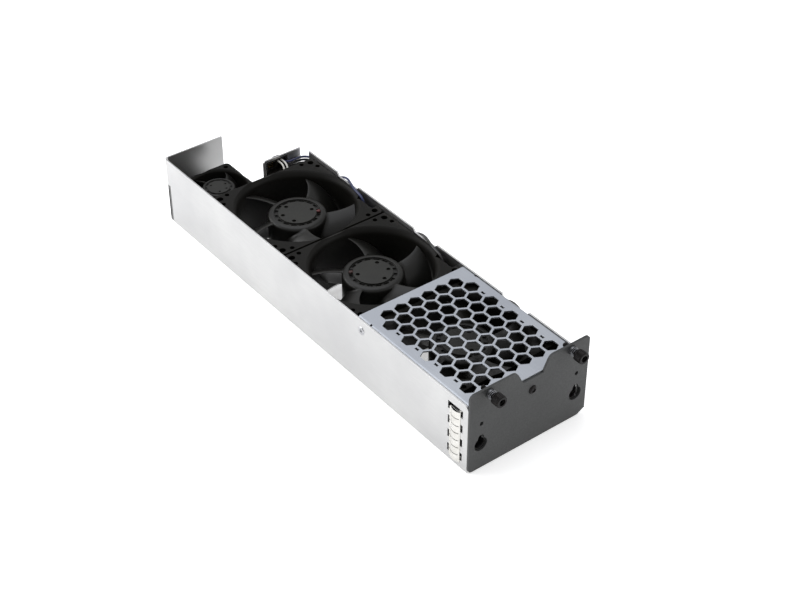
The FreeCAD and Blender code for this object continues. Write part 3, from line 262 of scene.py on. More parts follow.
# Bright nickel over stamped spring strip: warm, nearly mirror on the crowns of the fingers.
NICKEL_SPRING_STRIP = Finish("bright_nickel_spring_strip", "#dbdad6", "#cbc9c3", metallic=1.0,
                             roughness=0.30, roughness_spread=0.05, cloud_mm=6.0, grain_mm=0.25,
                             stretch=(1.0, 10.0, 1.0), grain_depth_mm=0.001, edge_mm=0.05,
                             edge_colour="#efeeea")
# Turned steel with a thin bright zinc plate: rings from the tool, small bright edges.
TURNED_STEEL = Finish("turned_zinc_plated_steel", "#b9babc", "#98999c", metallic=1.0, roughness=0.33,
                      cloud_mm=4.0, grain_mm=0.12, grain_depth_mm=0.001, edge_mm=0.08,
                      edge_colour="#d9dadc")
# Painted shade: the bushes and washers behind the knobs are the same plate coloured darker, and a little
# rougher.
TURNED_STEEL_PAINTED_SHADE = replace(TURNED_STEEL, name="turned_steel_painted_shade", colour="#7f8082", shade="#66676a",
                            roughness=0.4, edge_colour="#a5a6a8")
# Turned steel blackened in a hot oxide bath: brown-black, oily sheen, steel showing on worn ridges.
BLACK_OXIDE_STEEL = Finish("black_oxide_turned_steel", "#1c1a19", "#121112", metallic=0.85,
                           roughness=0.36, roughness_spread=0.08, cloud_mm=3.0, grain_mm=0.15,
                           grain_depth_mm=0.002, grain_tone=0.4, edge_mm=0.08, edge_colour="#343230")
# Cold-drawn spring wire: die lines along the wire, slightly dull.
DRAWN_SPRING_WIRE = Finish("drawn_spring_wire", "#8e8f92", "#6b6c70", metallic=1.0, roughness=0.30,
                           cloud_mm=2.0, grain_mm=0.1, grain_depth_mm=0.001, edge_mm=0.04)
# Glass-filled PBT, injection moulded in a spark-eroded tool: black, dull satin, fine even grain.
MOULDED_PBT_FRAME = Finish("moulded_pbt_frame", "#100f0c", "#0b0a08", roughness=0.46,
                           roughness_spread=0.07, cloud_mm=14.0, grain_mm=0.45, grain_depth_mm=0.008,
                           grain_tone=0.5, edge_mm=0.25, edge_colour="#201f1b", ior=1.52, gloss=0.11)
# The same resin from a finer tool: a little glossier, with flow marks round the blades.
MOULDED_PBT_IMPELLER = Finish("moulded_pbt_impeller", "#171614", "#10100e", roughness=0.36,
                              roughness_spread=0.06, cloud_mm=9.0, grain_mm=0.35, grain_depth_mm=0.005,
                              grain_tone=0.5, edge_mm=0.25, edge_colour="#2b2a27", ior=1.52, gloss=0.26)
# The face of the hub is etched in the tool to a dull grey.
ETCHED_PBT_FACE = replace(MOULDED_PBT_IMPELLER, name="etched_pbt_face", colour="#262623", shade="#20201e",
                          roughness=0.55, grain_mm=0.2)
# Nylon 66 moulding, black or grey: waxy sheen, soft edges.
BLACK_NYLON = Finish("moulded_black_nylon", "#191816", "#121110", roughness=0.44, cloud_mm=5.0,
                     grain_mm=0.3, grain_depth_mm=0.004, edge_mm=0.15, edge_colour="#2b2a27", ior=1.53,
                     gloss=0.25)
GREY_NYLON = replace(BLACK_NYLON, name="moulded_grey_nylon", colour="#6f6d68", shade="#615f5a",
                     roughness=0.42, edge_colour=None, gloss=0.5)
# Closed-cell neoprene foam, die-cut: black and dull, with fine open pores on its skin.
NEOPRENE_FOAM = Finish("neoprene_foam", "#161616", "#0e0e0e", roughness=0.85, cloud_mm=4.0, grain_mm=0.4,
                       grain_depth_mm=0.05, grain_tone=0.6, edge_mm=0.15, gloss=0.15)
# Extruded PVC insulation: smooth, slightly waxy, with a faint drift of tone along the wire.
BLACK_PVC = Finish("extruded_black_pvc", "#1a1a1b", "#101011", roughness=0.38, cloud_mm=8.0,
                   grain_mm=0.5, grain_depth_mm=0.002, edge_mm=0.05, ior=1.53)
BLUE_PVC = replace(BLACK_PVC, name="extruded_blue_pvc", colour="#1b2650", shade="#141d40")
WHITE_PVC = replace(BLACK_PVC, name="extruded_white_pvc", colour="#d3d2cd", shade="#c0beb7")
# Ground and honed bearing steel: bright, with fine marks round the part.
GROUND_STEEL = Finish("ground_bearing_steel", "#c4c5c7", "#a9abae", metallic=1.0, roughness=0.18,
                      roughness_spread=0.04, cloud_mm=3.0, grain_mm=0.08, grain_depth_mm=0.0005)
# Deep-drawn steel cup, zinc flashed: dull, with draw marks.
DRAWN_STEEL_CUP = Finish("drawn_steel_cup", "#a2a3a5", "#86878a", metallic=1.0, roughness=0.38,
                         cloud_mm=6.0, grain_mm=0.3, stretch=(1.0, 1.0, 8.0), grain_depth_mm=0.001)
# Plastic-bonded ferrite magnet: dark brown-grey, granular and dull.
BONDED_FERRITE = Finish("bonded_ferrite", "#2d2a29", "#221f1f", roughness=0.65, cloud_mm=3.0,
                        grain_mm=0.25, grain_depth_mm=0.01, grain_tone=0.6)
# Varnished laminations wound with enamelled copper: amber-brown, glossy from the dip.
VARNISHED_WINDINGS = Finish("varnished_copper_windings", "#8a4a22", "#5a3018", metallic=0.6,
                            roughness=0.34, cloud_mm=2.5, grain_mm=0.3, stretch=(1.0, 1.0, 6.0),
                            grain_depth_mm=0.03, grain_tone=0.6)
# Glass-epoxy laminate under solder mask: deep green, glossy, with the weave just showing.
SOLDER_MASK = Finish("green_solder_mask", "#1f5a38", "#174529", roughness=0.28, cloud_mm=4.0,
                     grain_mm=0.4, grain_depth_mm=0.003, grain_tone=0.3, ior=1.55)
# Phosphor bronze contact with a thin gold flash: warm and bright.
GOLD_FLASH = Finish("gold_flashed_contact", "#e2bd6a", "#c9a352", metallic=1.0, roughness=0.22,
                    cloud_mm=1.5, grain_mm=0.1, grain_depth_mm=0.0005, edge_mm=0.05)
# Two-part balancing putty, thumbed on and cured: dark red, lumpy, waxy.
BALANCING_PUTTY = Finish("cured_balancing_putty", "#5a1716", "#3f0f10", roughness=0.5, cloud_mm=1.5,
                         grain_mm=0.5, grain_depth_mm=0.05, grain_tone=0.5, edge_mm=0.05)
# The same putty from an older mix, browner and drier.
AGED_PUTTY = replace(BALANCING_PUTTY, name="aged_balancing_putty", colour="#3a1c17", shade="#2a1512",
                     roughness=0.6)

# Each finish with the nodes that have it, named without a side, a number or a leading small_.
NODE_FINISHES: dict[str, Finish] = {name: finish for finish, names in (
    (LEFT_WALL_PAINTED_SHADE_SHEET, "left_wall"), (RIGHT_WALL_PAINTED_SHADE_SHEET, "right_wall"), (PAN_PAINTED_SHADE_SHEET, "floor_pan"),
    (PARTITION_PAINTED_SHADE_SHEET, "fan_partition"), (COVER_PAINTED_SHADE_SHEET, "top_grille"), (POWDER_COAT, "front_plate"),
    (NICKEL_SPRING_STRIP, "emi_finger_strip"), (TURNED_STEEL, "cover_rivets fan_screws connector_screws"),
    (TURNED_STEEL_PAINTED_SHADE, "screw_ferrules thrust_washer"), (BLACK_OXIDE_STEEL, "centre_screw thumbscrew"),
    (DRAWN_SPRING_WIRE, "screw_spring"), (MOULDED_PBT_FRAME, "fan_frame"),
    (MOULDED_PBT_IMPELLER, "impeller"), (VARNISHED_WINDINGS, "fan_stator"), (SOLDER_MASK, "fan_board"),
    (GROUND_STEEL, "fan_bearings rotor_shaft"), (DRAWN_STEEL_CUP, "rotor_cup"),
    (BONDED_FERRITE, "magnet_ring"), (BLACK_PVC, "fan_lead_1 fan_lead_2"), (BLUE_PVC, "fan_lead_3"),
    (WHITE_PVC, "fan_leads"), (BLACK_NYLON, "connector_housing"), (GOLD_FLASH, "connector_contacts"),
    (GREY_NYLON, "lead_clips")) for name in names.split()}


def coat_nodes() -> None:
    """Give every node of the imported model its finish, on all its faces."""
    for name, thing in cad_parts.items():
        kind = name.removeprefix("small_")
        finish = NODE_FINISHES.get(kind) or NODE_FINISHES[kind.rsplit("_", 1)[0]]
        if not thing.material_slots:
            thing.data.materials.append(finish.material())
        for slot in thing.material_slots:
            slot.material = finish.material()
        LOG.info("node %s: %s", name, finish.name)


# ---------------------------------------------------------------- shared making
class Axis(Enum):
    """Direction that a turned piece stands along."""

    ACROSS = Matrix.Rotation(math.pi / 2, 4, "Y")
    ALONG = Matrix.Rotation(-math.pi / 2, 4, "X")
    UP = Matrix.Identity(4)


def box_of(node: str) -> tuple[Vector, Vector, Vector]:
    """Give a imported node's lowest corner, its highest corner and its middle."""
    low, high = (Vector(corner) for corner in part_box(node))
    return low, high, (low + high) / 2


def metres(piece: object, names: str) -> dict[str, float]:
    """Give some of a piece's fields in metres; their names have spaces between."""
    return {name: getattr(piece, name) * MM for name in names.split()}


def to_mesh(shape: bmesh.types.BMesh, name: str) -> bpy.types.Mesh:
    """Turn drawn geometry to a mesh and free it.

    Args:
        shape: The geometry, which can't be used afterwards.
        name: The mesh's name.

    Returns:
        The mesh.
    """
    made = bpy.data.meshes.new(name)
    shape.to_mesh(made)
    shape.free()
    return made


def add_object(name: str, data: bpy.types.ID) -> bpy.types.Object:
    """Put new data in the scene as an object.

    Args:
        name: The object's name.
        data: Its mesh, light or camera.

    Returns:
        The object, at the origin.
    """
    made = bpy.data.objects.new(name, data)
    bpy.context.scene.collection.objects.link(made)
    return made


def lathe(outline: Sequence[tuple[float, float]], segments: int, axis: Axis = Axis.UP) -> bpy.types.Mesh:
    """Turn a closed outline about an axis through the origin.

    Args:
        outline: Corners as (radius, distance along the axis) in millimetres.
        segments: Steps round the axis.
        axis: The direction that the distances run along.

    Returns:
        The turned mesh.
    """
    shape = bmesh.new()
    turns = [math.tau * i / segments for i in range(segments)]
    rings = [[shape.verts.new((r * math.cos(a) * MM, r * math.sin(a) * MM, h * MM)) for a in turns]
             for r, h in outline]
    for ring, onward in zip(rings, rings[1:] + rings[:1]):
        for i in range(segments):
            shape.faces.new((ring[i - 1], ring[i], onward[i], onward[i - 1]))
    bmesh.ops.remove_doubles(shape, verts=shape.verts, dist=SAME)
    bmesh.ops.dissolve_degenerate(shape, edges=shape.edges, dist=SAME)
    shape.transform(axis.value)
    bmesh.ops.recalc_face_normals(shape, faces=shape.faces)
    return to_mesh(shape, "turned")


def eased(outline: Sequence[tuple[float, float, float]], steps: int = 5) -> list[tuple[float, float]]:
    """Round the corners of an outline.

    Args:
        outline: Corners as (radius, distance, rounding) in millimetres.
        steps: Corners that each rounding becomes, less one.

    Returns:
        The rounded outline as (radius, distance).
    """
    points = []
    for i, (u, v, rounding) in enumerate(outline):
        corner = Vector((u, v))
        before = Vector(outline[i - 1][:2]) - corner
        after = Vector(outline[(i + 1) % len(outline)][:2]) - corner
        if not rounding:
            points.append((u, v))
            continue
        before, after = before.normalized() * rounding, after.normalized() * rounding
        for k in range(steps + 1):
            t = k / steps
            points.append(tuple(corner + before * (1 - t) ** 2 + after * t ** 2))
    return points


def settle(name: str, made: bpy.types.Mesh, body: str, nodes: Sequence[str],
           sharp: float = 32.0) -> bpy.types.Object:
    """Smooth a finished mesh and put it on its body.

    Args:
        name: The piece's name.
        made: Its mesh, in place.
        body: The body that carries it.
        nodes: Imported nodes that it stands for.
        sharp: Angle in degrees above which an edge stays sharp.

    Returns:
        The piece.
    """
    made.name = name
    made.shade_smooth()
    made.set_sharp_from_angle(angle=math.radians(sharp))
    piece = add_object(name, made)
    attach(piece, body)
    if nodes:
        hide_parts(*nodes)
    LOG.info("piece %s on %s: %d faces", name, body, len(made.polygons))
    return piece


class Recipe:
    """A Geometry Nodes tree with named sizes that works on a base mesh."""

    def __init__(self, name: str, sizes: dict[str, float], finish: Finish) -> None:
        """Start the tree with its inputs.

        Args:
            name: The tree's name.
            sizes: Name of each input and its value, in metres, radians or as a count.
            finish: The finish of what the tree makes.
        """
        self.tree = bpy.data.node_groups.new(name, "GeometryNodeTree")
        self.sizes = sizes
        self.finish = finish
        sockets = self.tree.interface
        for way in ("INPUT", "OUTPUT"):
            sockets.new_socket("Geometry", in_out=way, socket_type="NodeSocketGeometry")
        self.identifiers = {
            label: sockets.new_socket(label, in_out="INPUT", socket_type="NodeSocketInt"
                                      if isinstance(value, int) else "NodeSocketFloat").identifier
            for label, value in sizes.items()}
        self.given = add_node(self.tree, "NodeGroupInput").outputs

    def add(self, kind: str, inputs: dict | None = None, **settings: object) -> bpy.types.Node:
        """Add one node to this tree, as add_node does."""
        return add_node(self.tree, kind, inputs, **settings)

    def work_out(self, known: dict[str, Socket | float], *groups: str) -> dict[str, Socket | float]:
        """Work out sums, each of which may use the ones before it.

        Args:
            known: Names that the sums start from.
            groups: Sums with semicolons between, each as its name, its operation and what it works
                on, which are names or numbers.

        Returns:
            The known names and those of the sums.
        """
        for line in ";".join(groups).split(";"):
            name, operation, *parts = line.split()
            inputs = {i: known[part] if part in known else float(part) for i, part in enumerate(parts)}
            known[name] = self.add("ShaderNodeMath", inputs, operation=operation).outputs[0]
        return known

    def block(self, *sides: Socket) -> Socket:
        """Make a box about the origin from its three sides."""
        size = self.add("ShaderNodeCombineXYZ", dict(enumerate(sides)))
        return self.add("GeometryNodeMeshCube", {"Size": size.outputs[0]}).outputs[0]

    def raised(self, shape: Socket, height: Socket) -> Socket:
        """Move a shape along the Z axis."""
        lift = self.add("ShaderNodeCombineXYZ", {2: height}).outputs[0]
        return self.add("GeometryNodeTransform", {"Geometry": shape, "Translation": lift}).outputs[0]

    def ring_of(self, instance: Socket, count: Socket | int, radius: Socket | float,
                height: Socket | float, start: Socket | float = 0.0) -> Socket:
        """Repeat a shape round the Z axis, each copy turned to face outwards.

        Args:
            instance: The shape, drawn at the origin and facing along X.
            count: How many copies.
            radius: Distance from the axis.
            height: Distance along the axis.
            start: Turn of the first copy.

        Returns:
            The copies.
        """
        index = self.add("GeometryNodeInputIndex").outputs[0]
        found = self.work_out(
            {"count": count, "index": index, "radius": radius, "start": start, "tau": math.tau},
            "step DIVIDE tau count; turn MULTIPLY_ADD index step start; cos COSINE turn; sin SINE turn",
            "x MULTIPLY cos radius; y MULTIPLY sin radius")
        place = self.add("ShaderNodeCombineXYZ", {0: found["x"], 1: found["y"], 2: height}).outputs[0]
        points = self.add("GeometryNodePoints", {"Count": count, "Position": place}).outputs[0]
        euler = self.add("ShaderNodeCombineXYZ", {2: found["turn"]}).outputs[0]
        facing = self.add("FunctionNodeEulerToRotation", {0: euler}).outputs[0]
        return self.add("GeometryNodeInstanceOnPoints",
                        {"Points": points, "Instance": instance, "Rotation": facing}).outputs[0]

    def coil(self, turns: Socket | float, radius: Socket, height: Socket, start: Socket, size: Socket,
             corners: int) -> Socket:
        """Wind a bar about the Z axis.

        Args:
            turns: How many turns.
            radius: Radius of the bar's middle line.
            height: Rise over all the turns.
            start: Height of the first turn.
            size: Radius of the bar.
            corners: Corners of the bar's section.

        Returns:
            The wound bar, closed at its ends.
        """
        line = self.add("GeometryNodeCurveSpiral", {"Resolution": 40, "Rotations": turns, "Height": height,
                                                    "Start Radius": radius, "End Radius": radius})
        section = self.add("GeometryNodeCurvePrimitiveCircle", {"Resolution": corners, "Radius": size})
        bar = self.add("GeometryNodeCurveToMesh", {"Curve": line.outputs[0], "Fill Caps": True,
                                                   "Profile Curve": section.outputs[0]})
        return self.raised(bar.outputs[0], start)

    def end(self, shapes: Sequence[Socket], faced: tuple[Socket, Finish] | None = None) -> None:
        """Join the shapes, make them real and give them their material.

        Args:
            shapes: Geometry sockets to join.
            faced: Which faces take a second finish, and that finish.
        """
        joined = self.add("GeometryNodeJoinGeometry", {0: list(shapes)})
        real = self.add("GeometryNodeRealizeInstances", {0: joined.outputs[0]})
        painted = self.add("GeometryNodeSetMaterial", {"Geometry": real.outputs[0],
                                                       "Material": self.finish.material()})
        if faced:
            painted = self.add("GeometryNodeSetMaterial", {"Geometry": painted.outputs[0],
                                                           "Selection": faced[0],
                                                           "Material": faced[1].material()})
        self.add("NodeGroupOutput", {0: painted.outputs[0]})

    def run(self, base: bpy.types.Mesh, place: Matrix | None = None) -> bpy.types.Mesh:
        """Run the tree on a base mesh.

        Args:
            base: The mesh that comes in.
            place: Where the result goes, if not where it was made.

        Returns:
            The result as a plain mesh.
        """
        carrier = add_object("carrier", base)
        modifier = carrier.modifiers.new("recipe", "NODES")
        modifier.node_group = self.tree
        for label, value in self.sizes.items():
            modifier[self.identifiers[label]] = value
        ready = carrier.evaluated_get(bpy.context.evaluated_depsgraph_get())
        made = bpy.data.meshes.new_from_object(ready)
        bpy.data.objects.remove(carrier)
        shape = bmesh.new()
        shape.from_mesh(made)
        bmesh.ops.remove_doubles(shape, verts=shape.verts, dist=SAME)
        bmesh.ops.recalc_face_normals(shape, faces=shape.faces)
        shape.transform(place or Matrix.Identity(4))
        shape.to_mesh(made)
        shape.free()
        return made


# ---------------------------------------------------------------- fans
@dataclass
class Impeller:
    """One fan's rotor moulding: hub with its grooved face, balance notches and swept blades.

    Lengths are in millimetres and angles in degrees. A blade is given at its root and its tip, on
    cylinders about the axis, and each value runs evenly between them.
    """

    node: str
    cup: str
    body: str
    turn: float = 0.0
    count: int = 5
    hub: float = 19.5
    hub_height: float = 25.2
    wall: float = 2.0
    rim: float = 3.4
    disc: float = 12.4
    groove: float = 15.2
    groove_depth: float = 1.0
    notches: int = 16
    notch_wide: float = 3.6
    notch_deep: float = 3.7
    notch_across: float = 2.2
    dots: tuple[float, ...] = (5.0, 125.0, 245.0, 305.0)
    dot_circle: float = 9.8
    dot_radius: float = 1.35
    dot_depth: float = 2.2
    tip: float = 37.5
    root_low: float = 1.4
    root_high: float = 24.1
    tip_low: float = 0.7
    tip_high: float = 26.2
    root_sweep: float = 6.3
    tip_sweep: float = 23.0
    sweep_bulge: float = 4.2
    tip_arch: float = 2.0
    root_half: float = 29.3
    tip_half: float = 21.9
    half_bulge: float = -11.2
    camber: float = 0.13
    root_thick: float = 1.8
    tip_thick: float = 1.1
    fillet: float = 1.6
    root_sunk: float = 1.0
    fullness: float = 0.55
    round_steps: int = 28
    span_steps: int = 26

    def hub_mesh(self) -> bpy.types.Mesh:
        """Turn the hub: face disc, groove, rounded rim and the hollow underneath.

        Returns:
            The hub without its notches and dots.
        """
        top, sunk, roof = self.hub_height, self.hub_height - self.groove_depth, self.hub_height - self.wall
        inside = self.hub - self.wall
        outline = [(0, roof, 0), (0, top, 0), (self.disc, top, 0.15), (self.disc, sunk, 0),
                   (self.groove, sunk, 0), (self.groove, top, 0.3), (self.hub, top, self.rim),
                   (self.hub, 0, 0.4), (inside, 0, 0.3), (inside, roof, 0)]
        return lathe(eased(outline), 96)

    def sizes(self) -> dict[str, float]:
        """Give the tree's inputs.

        Returns:
            Lengths in metres, angles in radians, counts and shares as they are.
        """
        angles = "turn root_sweep tip_sweep sweep_bulge tip_arch root_half tip_half half_bulge"
        sizes = metres(self, "hub hub_height disc notch_wide notch_deep notch_across dot_circle dot_radius "
                             "dot_depth tip root_low root_high tip_low tip_high root_thick tip_thick fillet")
        sizes |= {name: math.radians(getattr(self, name)) for name in angles.split()}
        sizes |= {f"dot_{i}": math.radians(self.turn + dot) for i, dot in enumerate(self.dots)}
        sizes["notch_circle"] = (self.disc + self.groove) / 2 * MM
        return sizes | {name: getattr(self, name) for name in
                        ("count", "notches", "camber", "round_steps", "span_steps")}

    def blade(self, recipe: Recipe) -> Socket:
        """Bend a grid into one closed blade.

        Args:
            recipe: The tree that the blade is made in.

        Returns:
            The blade's geometry.
        """
        known = {name: recipe.given[name] for name in self.sizes()}
        grid = recipe.add("GeometryNodeMeshGrid", {"Size X": 1.0, "Size Y": 1.0, "Vertices X":
                                                   known["round_steps"], "Vertices Y": known["span_steps"]})
        position = recipe.add("GeometryNodeInputPosition").outputs[0]
        spot = recipe.add("ShaderNodeSeparateXYZ", {0: position}).outputs
        found = recipe.work_out(
            known | {"along": spot[0], "out": spot[1], "tau": math.tau, "pi": math.pi,
                     "sunk": self.root_sunk * MM, "fullness": self.fullness},
            # the first and last rows close the ends, the rows between run from root to tip
            "rows SUBTRACT span_steps 3; margin DIVIDE 1 rows; twice MULTIPLY_ADD margin 2 1",
            "wide MULTIPLY out twice; span ADD wide 0.5; span MAXIMUM span 0; span MINIMUM span 1",
            "past ABSOLUTE wide; past SUBTRACT past 0.5; past MAXIMUM past 0; past DIVIDE past margin",
            "body SUBTRACT 1 past; inner SUBTRACT hub sunk; reach SUBTRACT tip inner",
            "radius MULTIPLY_ADD reach span inner",
            # round the section: chord from the trailing edge at -1 to the leading edge at 1
            "angle MULTIPLY_ADD along tau pi; chord COSINE angle; side SINE angle; sign SIGN side",
            "side ABSOLUTE side; side POWER side fullness; side MULTIPLY side sign",
            "chord2 MULTIPLY chord chord; bow SUBTRACT 1 chord2",
            # what changes from root to tip
            "rest SUBTRACT 1 span; swell MULTIPLY span rest; sweep MULTIPLY root_sweep rest",
            "sweep MULTIPLY_ADD tip_sweep span sweep; sweep MULTIPLY_ADD sweep_bulge swell sweep",
            "arch MULTIPLY tip_arch span; sweep MULTIPLY_ADD arch bow sweep",
            "half MULTIPLY root_half rest; half MULTIPLY_ADD tip_half span half",
            "half MULTIPLY_ADD half_bulge swell half",
            "low MULTIPLY root_low rest; low MULTIPLY_ADD tip_low span low",
            "high MULTIPLY root_high rest; high MULTIPLY_ADD tip_high span high",
            "thick MULTIPLY root_thick rest; thick MULTIPLY_ADD tip_thick span thick",
            "thick MULTIPLY thick 0.5",
            # the fillet at the root fades over a seventh of the span
            "near MULTIPLY_ADD span -7 1; near MAXIMUM near 0; near MULTIPLY near near",
            "thick MULTIPLY_ADD fillet near thick",
            # offset of the surface from the chord, square to it
            "rise SUBTRACT high low; run MULTIPLY half radius; run MULTIPLY run 2",
            "rise2 MULTIPLY rise rise; length MULTIPLY_ADD run run rise2; length SQRT length",
            "offset MULTIPLY camber length; offset MULTIPLY offset bow; thick MULTIPLY thick body",
            "offset MULTIPLY_ADD side thick offset; slant DIVIDE offset length",
            "back MULTIPLY slant rise; back DIVIDE back radius; up MULTIPLY slant run",
            "turn MULTIPLY_ADD chord half sweep; turn SUBTRACT turn back",
            "mid ADD low high; mid MULTIPLY_ADD mid 0.5 up; rise MULTIPLY rise 0.5",
            "z MULTIPLY_ADD chord rise mid; cos COSINE turn; sin SINE turn",
            "x MULTIPLY cos radius; y MULTIPLY sin radius")
        place = recipe.add("ShaderNodeCombineXYZ", {i: found[name] for i, name in enumerate("xyz")})
        bent = recipe.add("GeometryNodeSetPosition", {"Geometry": grid.outputs[0],
                                                      "Position": place.outputs[0]})
        return recipe.add("GeometryNodeMergeByDistance", {"Distance": 1e-6,
                                                          "Geometry": bent.outputs[0]}).outputs[0]

    def recipe(self) -> Recipe:
        """Set up the tree: hub less notches and dots, and the ring of blades.

        Returns:
            The finished tree.
        """
        recipe = Recipe(self.node + "_recipe", self.sizes(), MOULDED_PBT_IMPELLER)
        given = recipe.given
        top, disc = given["hub_height"], given["disc"]
        notch = recipe.block(given["notch_across"], given["notch_wide"], given["notch_deep"])
        dot = recipe.add("GeometryNodeMeshCylinder", {"Vertices": 24, "Radius": given["dot_radius"],
                                                      "Depth": given["dot_depth"]}).outputs[0]
        cutters = [recipe.ring_of(notch, given["notches"], given["notch_circle"], top)]
        cutters += [recipe.ring_of(dot, 1, given["dot_circle"], top, given[f"dot_{i}"])
                    for i in range(len(self.dots))]
        joined = recipe.add("GeometryNodeJoinGeometry", {0: cutters})
        solid = recipe.add("GeometryNodeRealizeInstances", {0: joined.outputs[0]})
        hub = recipe.add("GeometryNodeMeshBoolean", {0: given["Geometry"], 1: solid.outputs[0]},
                         **CUT)
        blades = recipe.ring_of(self.blade(recipe), given["count"], 0.0, 0.0, given["turn"])
        position = recipe.add("GeometryNodeInputPosition").outputs[0]
        spot = recipe.add("ShaderNodeSeparateXYZ", {0: position}).outputs
        found = recipe.work_out(
            {"x": spot[0], "y": spot[1], "z": spot[2], "disc": disc, "top": top, "skin": 0.2 * MM},
            "x2 MULTIPLY x x; out MULTIPLY_ADD y y x2; out SQRT out; inside LESS_THAN out disc",
            "below SUBTRACT top skin; high GREATER_THAN z below; face MULTIPLY inside high")
        recipe.end([hub.outputs[0], blades], (found["face"], ETCHED_PBT_FACE))
        return recipe

    def build(self) -> None:
        """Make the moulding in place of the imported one."""
        low, _, middle = box_of(self.cup)
        place = Matrix.Translation((middle.x, middle.y, low.z))
        made = self.recipe().run(self.hub_mesh(), place)
        settle(self.node + "_moulding", made, self.body, [self.node])


@dataclass
class Putty:
    """A lump of balancing putty thumbed into the groove of a hub. Lengths are in millimetres.

    The groove's lip stands at face above the foot of the rotor's cup.
    """

    name: str
    cup: str
    body: str
    bearing: float
    face: float = 25.2
    radius: float = 1.35
    height: float = 1.3
    circle: float = 13.7
    lumpiness: float = 0.35
    lump_scale: float = 1.4
    squeeze: float = 0.8
    flatness: float = 0.6
    sunk: float = 0.15
    finish: Finish = BALANCING_PUTTY

    def build(self) -> None:
        """Press the lump into the groove at its bearing, in degrees about the axis."""
        low, _, middle = box_of(self.cup)
        angle = math.radians(self.bearing)
        spot = Vector((math.cos(angle) * self.circle, math.sin(angle) * self.circle, self.face)) * MM
        place = Vector((middle.x, middle.y, low.z)) + spot
        shape = bmesh.new()
        bmesh.ops.create_icosphere(shape, subdivisions=4, radius=1.0)
        wide, tall = self.radius * self.squeeze, self.height * self.flatness
        for vert in shape.verts:
            lump = noise.noise(vert.co * self.lump_scale + Vector((self.bearing, 0, 0)))
            vert.co *= 1 + self.lumpiness * lump
            vert.co = Vector((vert.co.x * self.radius, vert.co.y * wide, vert.co.z * tall - self.sunk)) * MM
        shape.transform(Matrix.Translation(place) @ Matrix.Rotation(angle, 4, "Z"))
        made = to_mesh(shape, self.name)
        made.materials.append(self.finish.material())
        settle(self.name, made, self.body, [])


# ---------------------------------------------------------------- fasteners
@dataclass
class Thumbscrew:
    """A knurled captive knob with its key socket and threaded end. Lengths are in millimetres."""

    side: str
    set_back: float = 0.5
    knob_radius: float = 3.8
    knob_length: float = 5.4
    chamfer: float = 0.5
    neck: float = 0.35
    socket_radius: float = 2.1
    socket_depth: float = 1.1
    key_radius: float = 1.35
    key_depth: float = 1.1
    pocket_radius: float = 3.1
    pocket_depth: float = 3.1
    ridges: int = 34
    ridge_wide: float = 0.46
    ridge_start: float = 0.9
    ridge_length: float = 3.6
    shank_radius: float = 1.5
    collar_radius: float = 2.4
    collar_start: float = 12.3
    collar_length: float = 0.8
    pitch: float = 0.5
    thread_depth: float = 0.2
    thread_start: float = 1.0
    thread_end: float = 0.4
    shoulder: float = 0.2
    point: float = 0.5

    def turned(self, length: float) -> bpy.types.Mesh:
        """Turn the knob, shank and collar, with the knob's front face at none.

        Args:
            length: Whole length of the screw.

        Returns:
            The screw without its ridges, key socket and thread.
        """
        knob, shank, inner = self.knob_radius, self.shank_radius, self.knob_length - self.pocket_depth
        low, core = knob - self.neck, shank - self.thread_depth
        ridge_end = self.ridge_start + self.ridge_length
        end = self.collar_start + self.collar_length
        outline = [(0, self.socket_depth, 0), (self.socket_radius, self.socket_depth, 0.1),
                   (self.socket_radius, 0, 0.25), (knob, 0, self.chamfer),
                   (knob, self.ridge_start - self.shoulder, 0), (low, self.ridge_start, 0),
                   (low, ridge_end, 0), (knob, ridge_end + self.shoulder, 0), (knob, self.knob_length, 0.25),
                   (self.pocket_radius, self.knob_length, 0.15), (self.pocket_radius, inner, 0.15),
                   (shank, inner, 0.1), (shank, self.collar_start, 0.05),
                   (self.collar_radius, self.collar_start, 0.1), (self.collar_radius, end, 0.1),
                   (core, end, 0), (core, length - self.point, 0), (core - 0.4, length, 0), (0, length, 0)]
        return lathe(eased(outline, 4), 80)

    def build(self) -> None:
        """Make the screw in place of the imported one."""
        node = f"thumbscrew_{self.side}"
        low, high, middle = box_of(node)
        length = (high.y - low.y) / MM - self.set_back
        threaded = length - self.collar_start - self.thread_start - self.thread_end
        sizes = metres(self, "ridge_wide ridge_length key_radius") | {
            "ridges": self.ridges, "ridge_circle": (self.knob_radius - self.neck) * MM,
            "ridge_middle": (self.ridge_start + self.ridge_length / 2) * MM,
            "key_depth": 2 * self.key_depth * MM, "key_face": self.socket_depth * MM,
            "thread_start": (self.collar_start + self.thread_start) * MM, "thread_length": threaded * MM,
            "thread_radius": (self.shank_radius - self.thread_depth) * MM,
            "turns": threaded / self.pitch, "thread_size": self.thread_depth * MM}
        recipe = Recipe(node + "_recipe", sizes, BLACK_OXIDE_STEEL)
        given = recipe.given
        key = recipe.add("GeometryNodeMeshCylinder", {"Vertices": 6, "Radius": given["key_radius"],
                                                      "Depth": given["key_depth"]}).outputs[0]
        body = recipe.add("GeometryNodeMeshBoolean",
                          {0: given["Geometry"], 1: recipe.raised(key, given["key_face"])},
                          **CUT)
        ridge = recipe.block(given["ridge_wide"], given["ridge_wide"], given["ridge_length"])
        ridge = recipe.add("GeometryNodeTransform", {"Rotation": Euler((0, 0, math.pi / 4)),
                                                     "Geometry": ridge}).outputs[0]
        ridges = recipe.ring_of(ridge, given["ridges"], given["ridge_circle"], given["ridge_middle"])
        thread = recipe.coil(given["turns"], given["thread_radius"], given["thread_length"],
                             given["thread_start"], given["thread_size"], 4)
        recipe.end([body.outputs[0], ridges, thread])
        front = Matrix.Translation((middle.x, low.y + self.set_back * MM, middle.z))
        made = recipe.run(self.turned(length), front @ Axis.ALONG.value)
        settle(node + "_turned", made, f"{self.side}_thumbscrew", [node])


